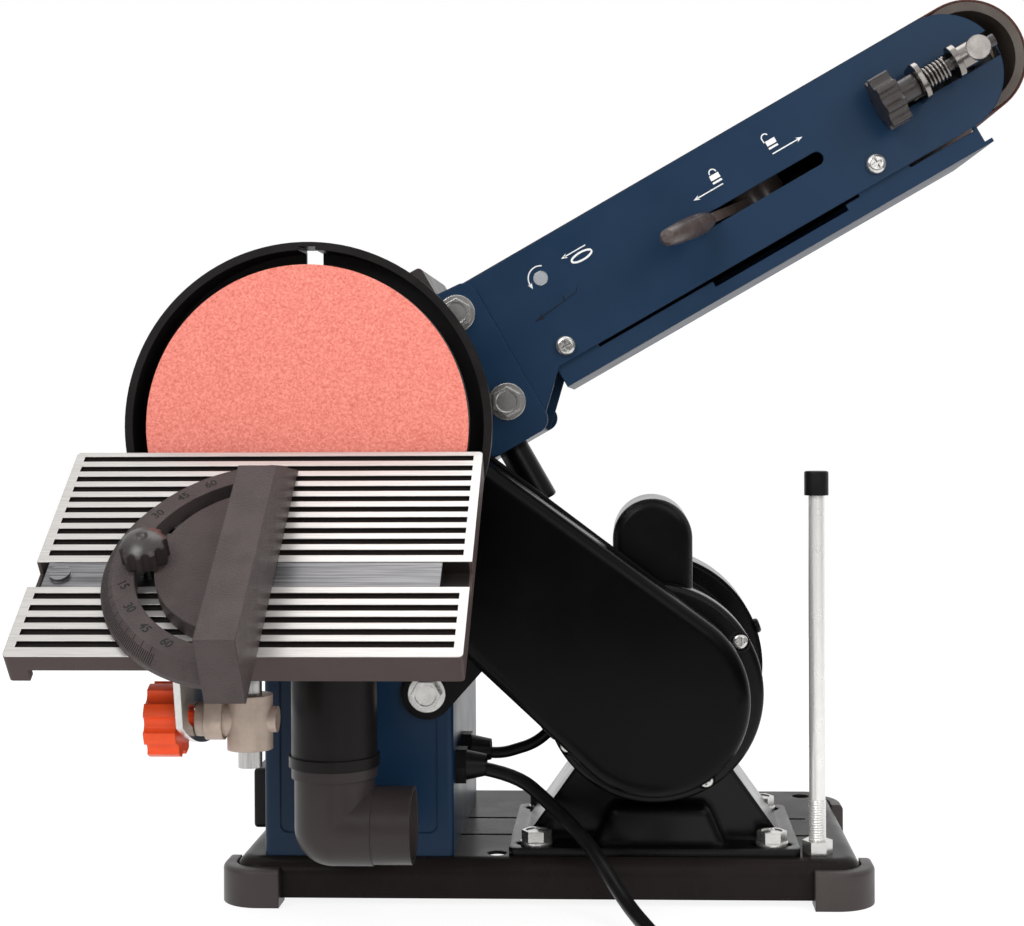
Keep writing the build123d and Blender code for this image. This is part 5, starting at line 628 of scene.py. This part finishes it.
def buttonMark(s, node):
    # a bar or a circle with width on the button's outer face, moved out along -X by the lift
    low, high = (np.array(v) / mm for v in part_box(node))
    bar = np.array([(0.0, -s["bar"]), (0.0, s["bar"])])
    path = bar if node == "start_button" else arcPath((0.0, 0.0), s["ring"], 0, 360, s["ringSteps"])
    flat, faces = strokeBand(path, s["line"])
    middle = (low + high) / 2
    x = np.full(len(flat), low[0] - s["lift"])
    return np.stack([x, middle[1] - flat[:, 0], middle[2] + flat[:, 1]], 1), faces


for markName, node, body, slot in markSet["marks"]:
    mark = newMesh(markName, *buttonMark(markSet, node), finishes["sign_white"], body, slot, False)
    thickened(mark, markSet["lift"])
print("button marks placed")

# mitre scale: one tick each degree on the bevel, longer each five, numbers on the flat ring; their black is
# painted shade in the engraved marks
scaleSet = {
    "centre": (-112.0, 81.0), "rim": 67.5, "flat": 8.5, "base": 3.0, "lift": 0.05,
    "last": 57, "tick": 0.42, "rimGap": 0.5, "short": 3.2, "long": 5.0, "longEach": 5,
    "numbers": (("15", 15.5), ("30", 30.0), ("45", 44.5), ("60", 58.0)), "ring": 57.4, "height": 5.4,
    "bold": 0.12, "mostLean": 50.0,
}


def onTable(x, t, h):
    # table coordinates (across, forward, up) to the frame
    x, t, h = (np.asarray(v, float)[..., None] for v in np.broadcast_arrays(x, t, h))
    forward, up = np.array(tableSet["forwardWay"]), np.array(tableSet["upWay"])
    return np.array(tableSet["edge"]) + x * np.array([1.0, 0.0, 0.0]) + t * forward + h * up


def scaleTicks(s):
    # a tick is a strip on the cone of the bevel, from near the rim inwards, at both sides of the middle
    degree = np.arange(-s["last"], s["last"] + 1)
    reach = np.where(degree % s["longEach"] == 0, s["long"], s["short"])
    outer = np.full(len(degree), s["rim"] - s["rimGap"])
    radius = np.stack([outer, outer, outer - reach, outer - reach], 1)
    swing = np.array([-0.5, 0.5, 0.5, -0.5]) * s["tick"] / s["rim"]
    turn = np.radians(180.0 + degree)[:, None] + swing
    lift = s["lift"] * math.sqrt(0.5)  # the bevel slopes 45 degrees
    height = s["rim"] + s["base"] - radius + lift
    points = onTable(s["centre"][0] + (radius + lift) * np.cos(turn),
                     s["centre"][1] - (radius + lift) * np.sin(turn), height)
    return points.reshape(-1, 3), np.arange(len(degree) * 4).reshape(-1, 4)[:, ::-1]


def typeMesh(label, size, bold):
    # flat points and triangles of a centred line of type
    curve = bpy.data.curves.new("number", "FONT")
    curve.body, curve.size, curve.offset = label, size, bold
    curve.align_x, curve.align_y = "CENTER", "CENTER"
    holder = bpy.data.objects.new("number", curve)
    scene.collection.objects.link(holder)
    bpy.context.view_layer.update()
    letters = bpy.data.meshes.new_from_object(holder.evaluated_get(bpy.context.evaluated_depsgraph_get()))
    flat = np.empty(len(letters.vertices) * 3)
    letters.vertices.foreach_get("co", flat)
    corners = np.empty(len(letters.loops), int)
    letters.loops.foreach_get("vertex_index", corners)
    bpy.data.objects.remove(holder)
    return flat.reshape(-1, 3), corners.reshape(-1, 3)


def scaleNumbers(s):
    # each number lies along the ring's tangent, turned by mostLean at most, so that it reads from the front
    bits = []
    for label, degree in s["numbers"]:
        flat, faces = typeMesh(label, s["height"], s["bold"])
        a = math.radians(degree)
        for side in (1, -1):
            lean = side * min(math.radians(s["mostLean"]), math.pi / 2 - a)
            middleX = s["centre"][0] - s["ring"] * math.cos(a)
            middleT = s["centre"][1] + side * s["ring"] * math.sin(a)
            x = middleX + flat[:, 0] * math.cos(lean) + flat[:, 1] * math.sin(lean)
            t = middleT + flat[:, 0] * math.sin(lean) - flat[:, 1] * math.cos(lean)
            bits.append((onTable(x, t, s["flat"] + s["lift"]), faces))
    return joined(bits)


scalePoints, scaleFaces = joined([scaleTicks(scaleSet), scaleNumbers(scaleSet)])
newMesh("mitre_scale", scalePoints, scaleFaces, finishes["scale_black"], "mitre_gauge", "cast_grey", False)
print("mitre scale placed")

# thread on the foot of the stop rod
threadSet = {
    "pitch": 1.25, "crest": 0.336, "lift": 0.03, "around": 32, "perTurn": 6, "start": 22.5, "above": 27.0,
}


def rodThread(s):
    # radius = rod + lift + crest x triangle wave of (height / pitch - angle / full turn), faded at both ends
    low, high = (np.array(v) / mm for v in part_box("stop_rod"))
    middle = (low + high) / 2
    rod = (high[0] - low[0]) / 2
    height = np.linspace(s["start"], s["start"] + s["above"], int(s["above"] / s["pitch"]) * s["perTurn"] + 1)
    angle = np.linspace(0, 2 * math.pi, s["around"], endpoint=False)
    wave = np.abs(((height[:, None] / s["pitch"] - angle / (2 * math.pi)) % 1.0) - 0.5) * 2
    fade = np.clip(np.minimum(height - height[0], height[-1] - height) / s["pitch"], 0, 1)[:, None]
    radius = rod + s["lift"] + s["crest"] * wave * fade
    points = np.stack([middle[0] + radius * np.cos(angle), middle[1] + radius * np.sin(angle),
                       np.broadcast_to(height[:, None], radius.shape)], 2)
    return points.reshape(-1, 3), gridFaces(len(height), s["around"], False, True)[:, ::-1]


newMesh("rod_thread", *rodThread(threadSet), finishes["rod_steel"], "frame", "zinc")
print("rod thread placed")

# floor: white paper that keeps the shadow near the object and is plain white further out
floorSet = {
    "half": 0.95, "drop": 0.0002, "paper": (0.9, 0.9, 0.9, 1), "glow": 1.16, "share": 0.75, "fade": (0.45, 0.8),
}


def floorPaper(s):
    # diffuse paper, mixed with a glow for the rays that are seen; the glow's share grows with the distance
    material = bpy.data.materials.new("floor_paper")
    material.use_nodes = True
    tree = material.node_tree
    tree.nodes.clear()
    rays = put(tree, "LightPath").outputs
    seen = mathNode(tree, "MAXIMUM", rays["Is Camera Ray"], rays["Is Glossy Ray"])
    seen = mathNode(tree, "MAXIMUM", seen, rays["Is Transmission Ray"])
    paper = put(tree, "BsdfDiffuse", {"Color": s["paper"]})
    glow = put(tree, "Emission", {"Color": (1, 1, 1, 1), "Strength": s["glow"]})
    where = put(tree, "TexCoord").outputs["Object"]
    reach = put(tree, "VectorMath", {0: where}, operation="LENGTH").outputs["Value"]
    share = put(tree, "MapRange", {"Value": reach, "From Min": s["fade"][0], "From Max": s["fade"][1],
                                   "To Min": s["share"], "To Max": 1.0}).outputs[0]
    both = put(tree, "MixShader", {0: mathNode(tree, "MULTIPLY", seen, share), 1: paper.outputs[0],
                                   2: glow.outputs[0]})
    put(tree, "OutputMaterial", {"Surface": both.outputs[0]})
    return material


floorMesh = bpy.data.meshes.new("floor")
floorCorners = np.array([(-1, -1), (1, -1), (1, 1), (-1, 1)]) * floorSet["half"]
floorPoints = np.concatenate([floorCorners, np.full((4, 1), -floorSet["drop"])], 1)
floorMesh.from_pydata(floorPoints.tolist(), [], [(0, 1, 2, 3)])
floorMesh.materials.append(floorPaper(floorSet))
floor = bpy.data.objects.new("floor", floorMesh)
scene.collection.objects.link(floor)

# light: the sky is white where it is seen, and for glossy rays darker in front; a key from the left, a fill from
# the right, a low one in front, one for the gloss of the arm's tip and one above; glossy rays miss the dull ones
lightSet = {
    "skyLevel": 0.52, "frontGloss": 0.16, "behind": (-0.2, 0.7), "above": (0.1, 0.9),
    "dull": ("front", "fill"),
    "lamps": [  # name, place, aim, size, power
        ("key", (-0.75, -1.35, 1.05), (0.0, -0.05, 0.2), 0.8, 10.4),
        ("fill", (0.72, -0.78, 0.78), (0.16, -0.06, 0.36), 0.5, 3.9),
        ("front", (0.45, -1.5, 0.20), (0.05, -0.1, 0.10), 0.5, 4.6),
        ("gloss", (0.58, -1.6, 0.76), (0.2, -0.06, 0.42), 0.55, 2.0),
        ("top", (0.1, 0.25, 1.6), (0.0, -0.05, 0.1), 1.0, 5.8),
    ],
}


def studioSky(s):
    # strength = 1 for camera and transmission rays; for glossy rays it grows from frontGloss to 1 towards the
    # back and the top; otherwise skyLevel
    world = bpy.data.worlds.new("studio")
    world.use_nodes = True
    tree = world.node_tree
    tree.nodes.clear()
    rays = put(tree, "LightPath").outputs
    facing = put(tree, "SeparateXYZ", {0: put(tree, "TexCoord").outputs["Generated"]}).outputs
    behind = ramp(tree, facing[1], *s["behind"])
    openSky = mathNode(tree, "MAXIMUM", behind, ramp(tree, facing[2], *s["above"]))
    gloss = put(tree, "MapRange", {"Value": openSky, "To Min": s["frontGloss"], "To Max": 1.0}).outputs[0]
    level = put(tree, "Mix", {0: rays["Is Glossy Ray"], 2: s["skyLevel"], 3: gloss}).outputs[0]
    clear = mathNode(tree, "MAXIMUM", rays["Is Camera Ray"], rays["Is Transmission Ray"])
    strength = put(tree, "Mix", {0: clear, 2: level, 3: 1.0}).outputs[0]
    sky = put(tree, "Background", {"Color": (1, 1, 1, 1), "Strength": strength})
    put(tree, "OutputWorld", {"Surface": sky.outputs[0]})
    return world


scene.world = studioSky(lightSet)
for lampName, place, aim, size, power in lightSet["lamps"]:
    lamp = bpy.data.lights.new(lampName, "AREA")
    lamp.size = size
    lamp.energy = power
    lampObject = bpy.data.objects.new(lampName, lamp)
    lampObject.location = place
    lampObject.rotation_euler = (Vector(aim) - Vector(place)).to_track_quat("-Z", "Y").to_euler()
    lampObject.visible_camera = False
    lampObject.visible_glossy = lampName not in lightSet["dull"]
    scene.collection.objects.link(lampObject)
print("floor and lights placed")

bpy.context.view_layer.update()
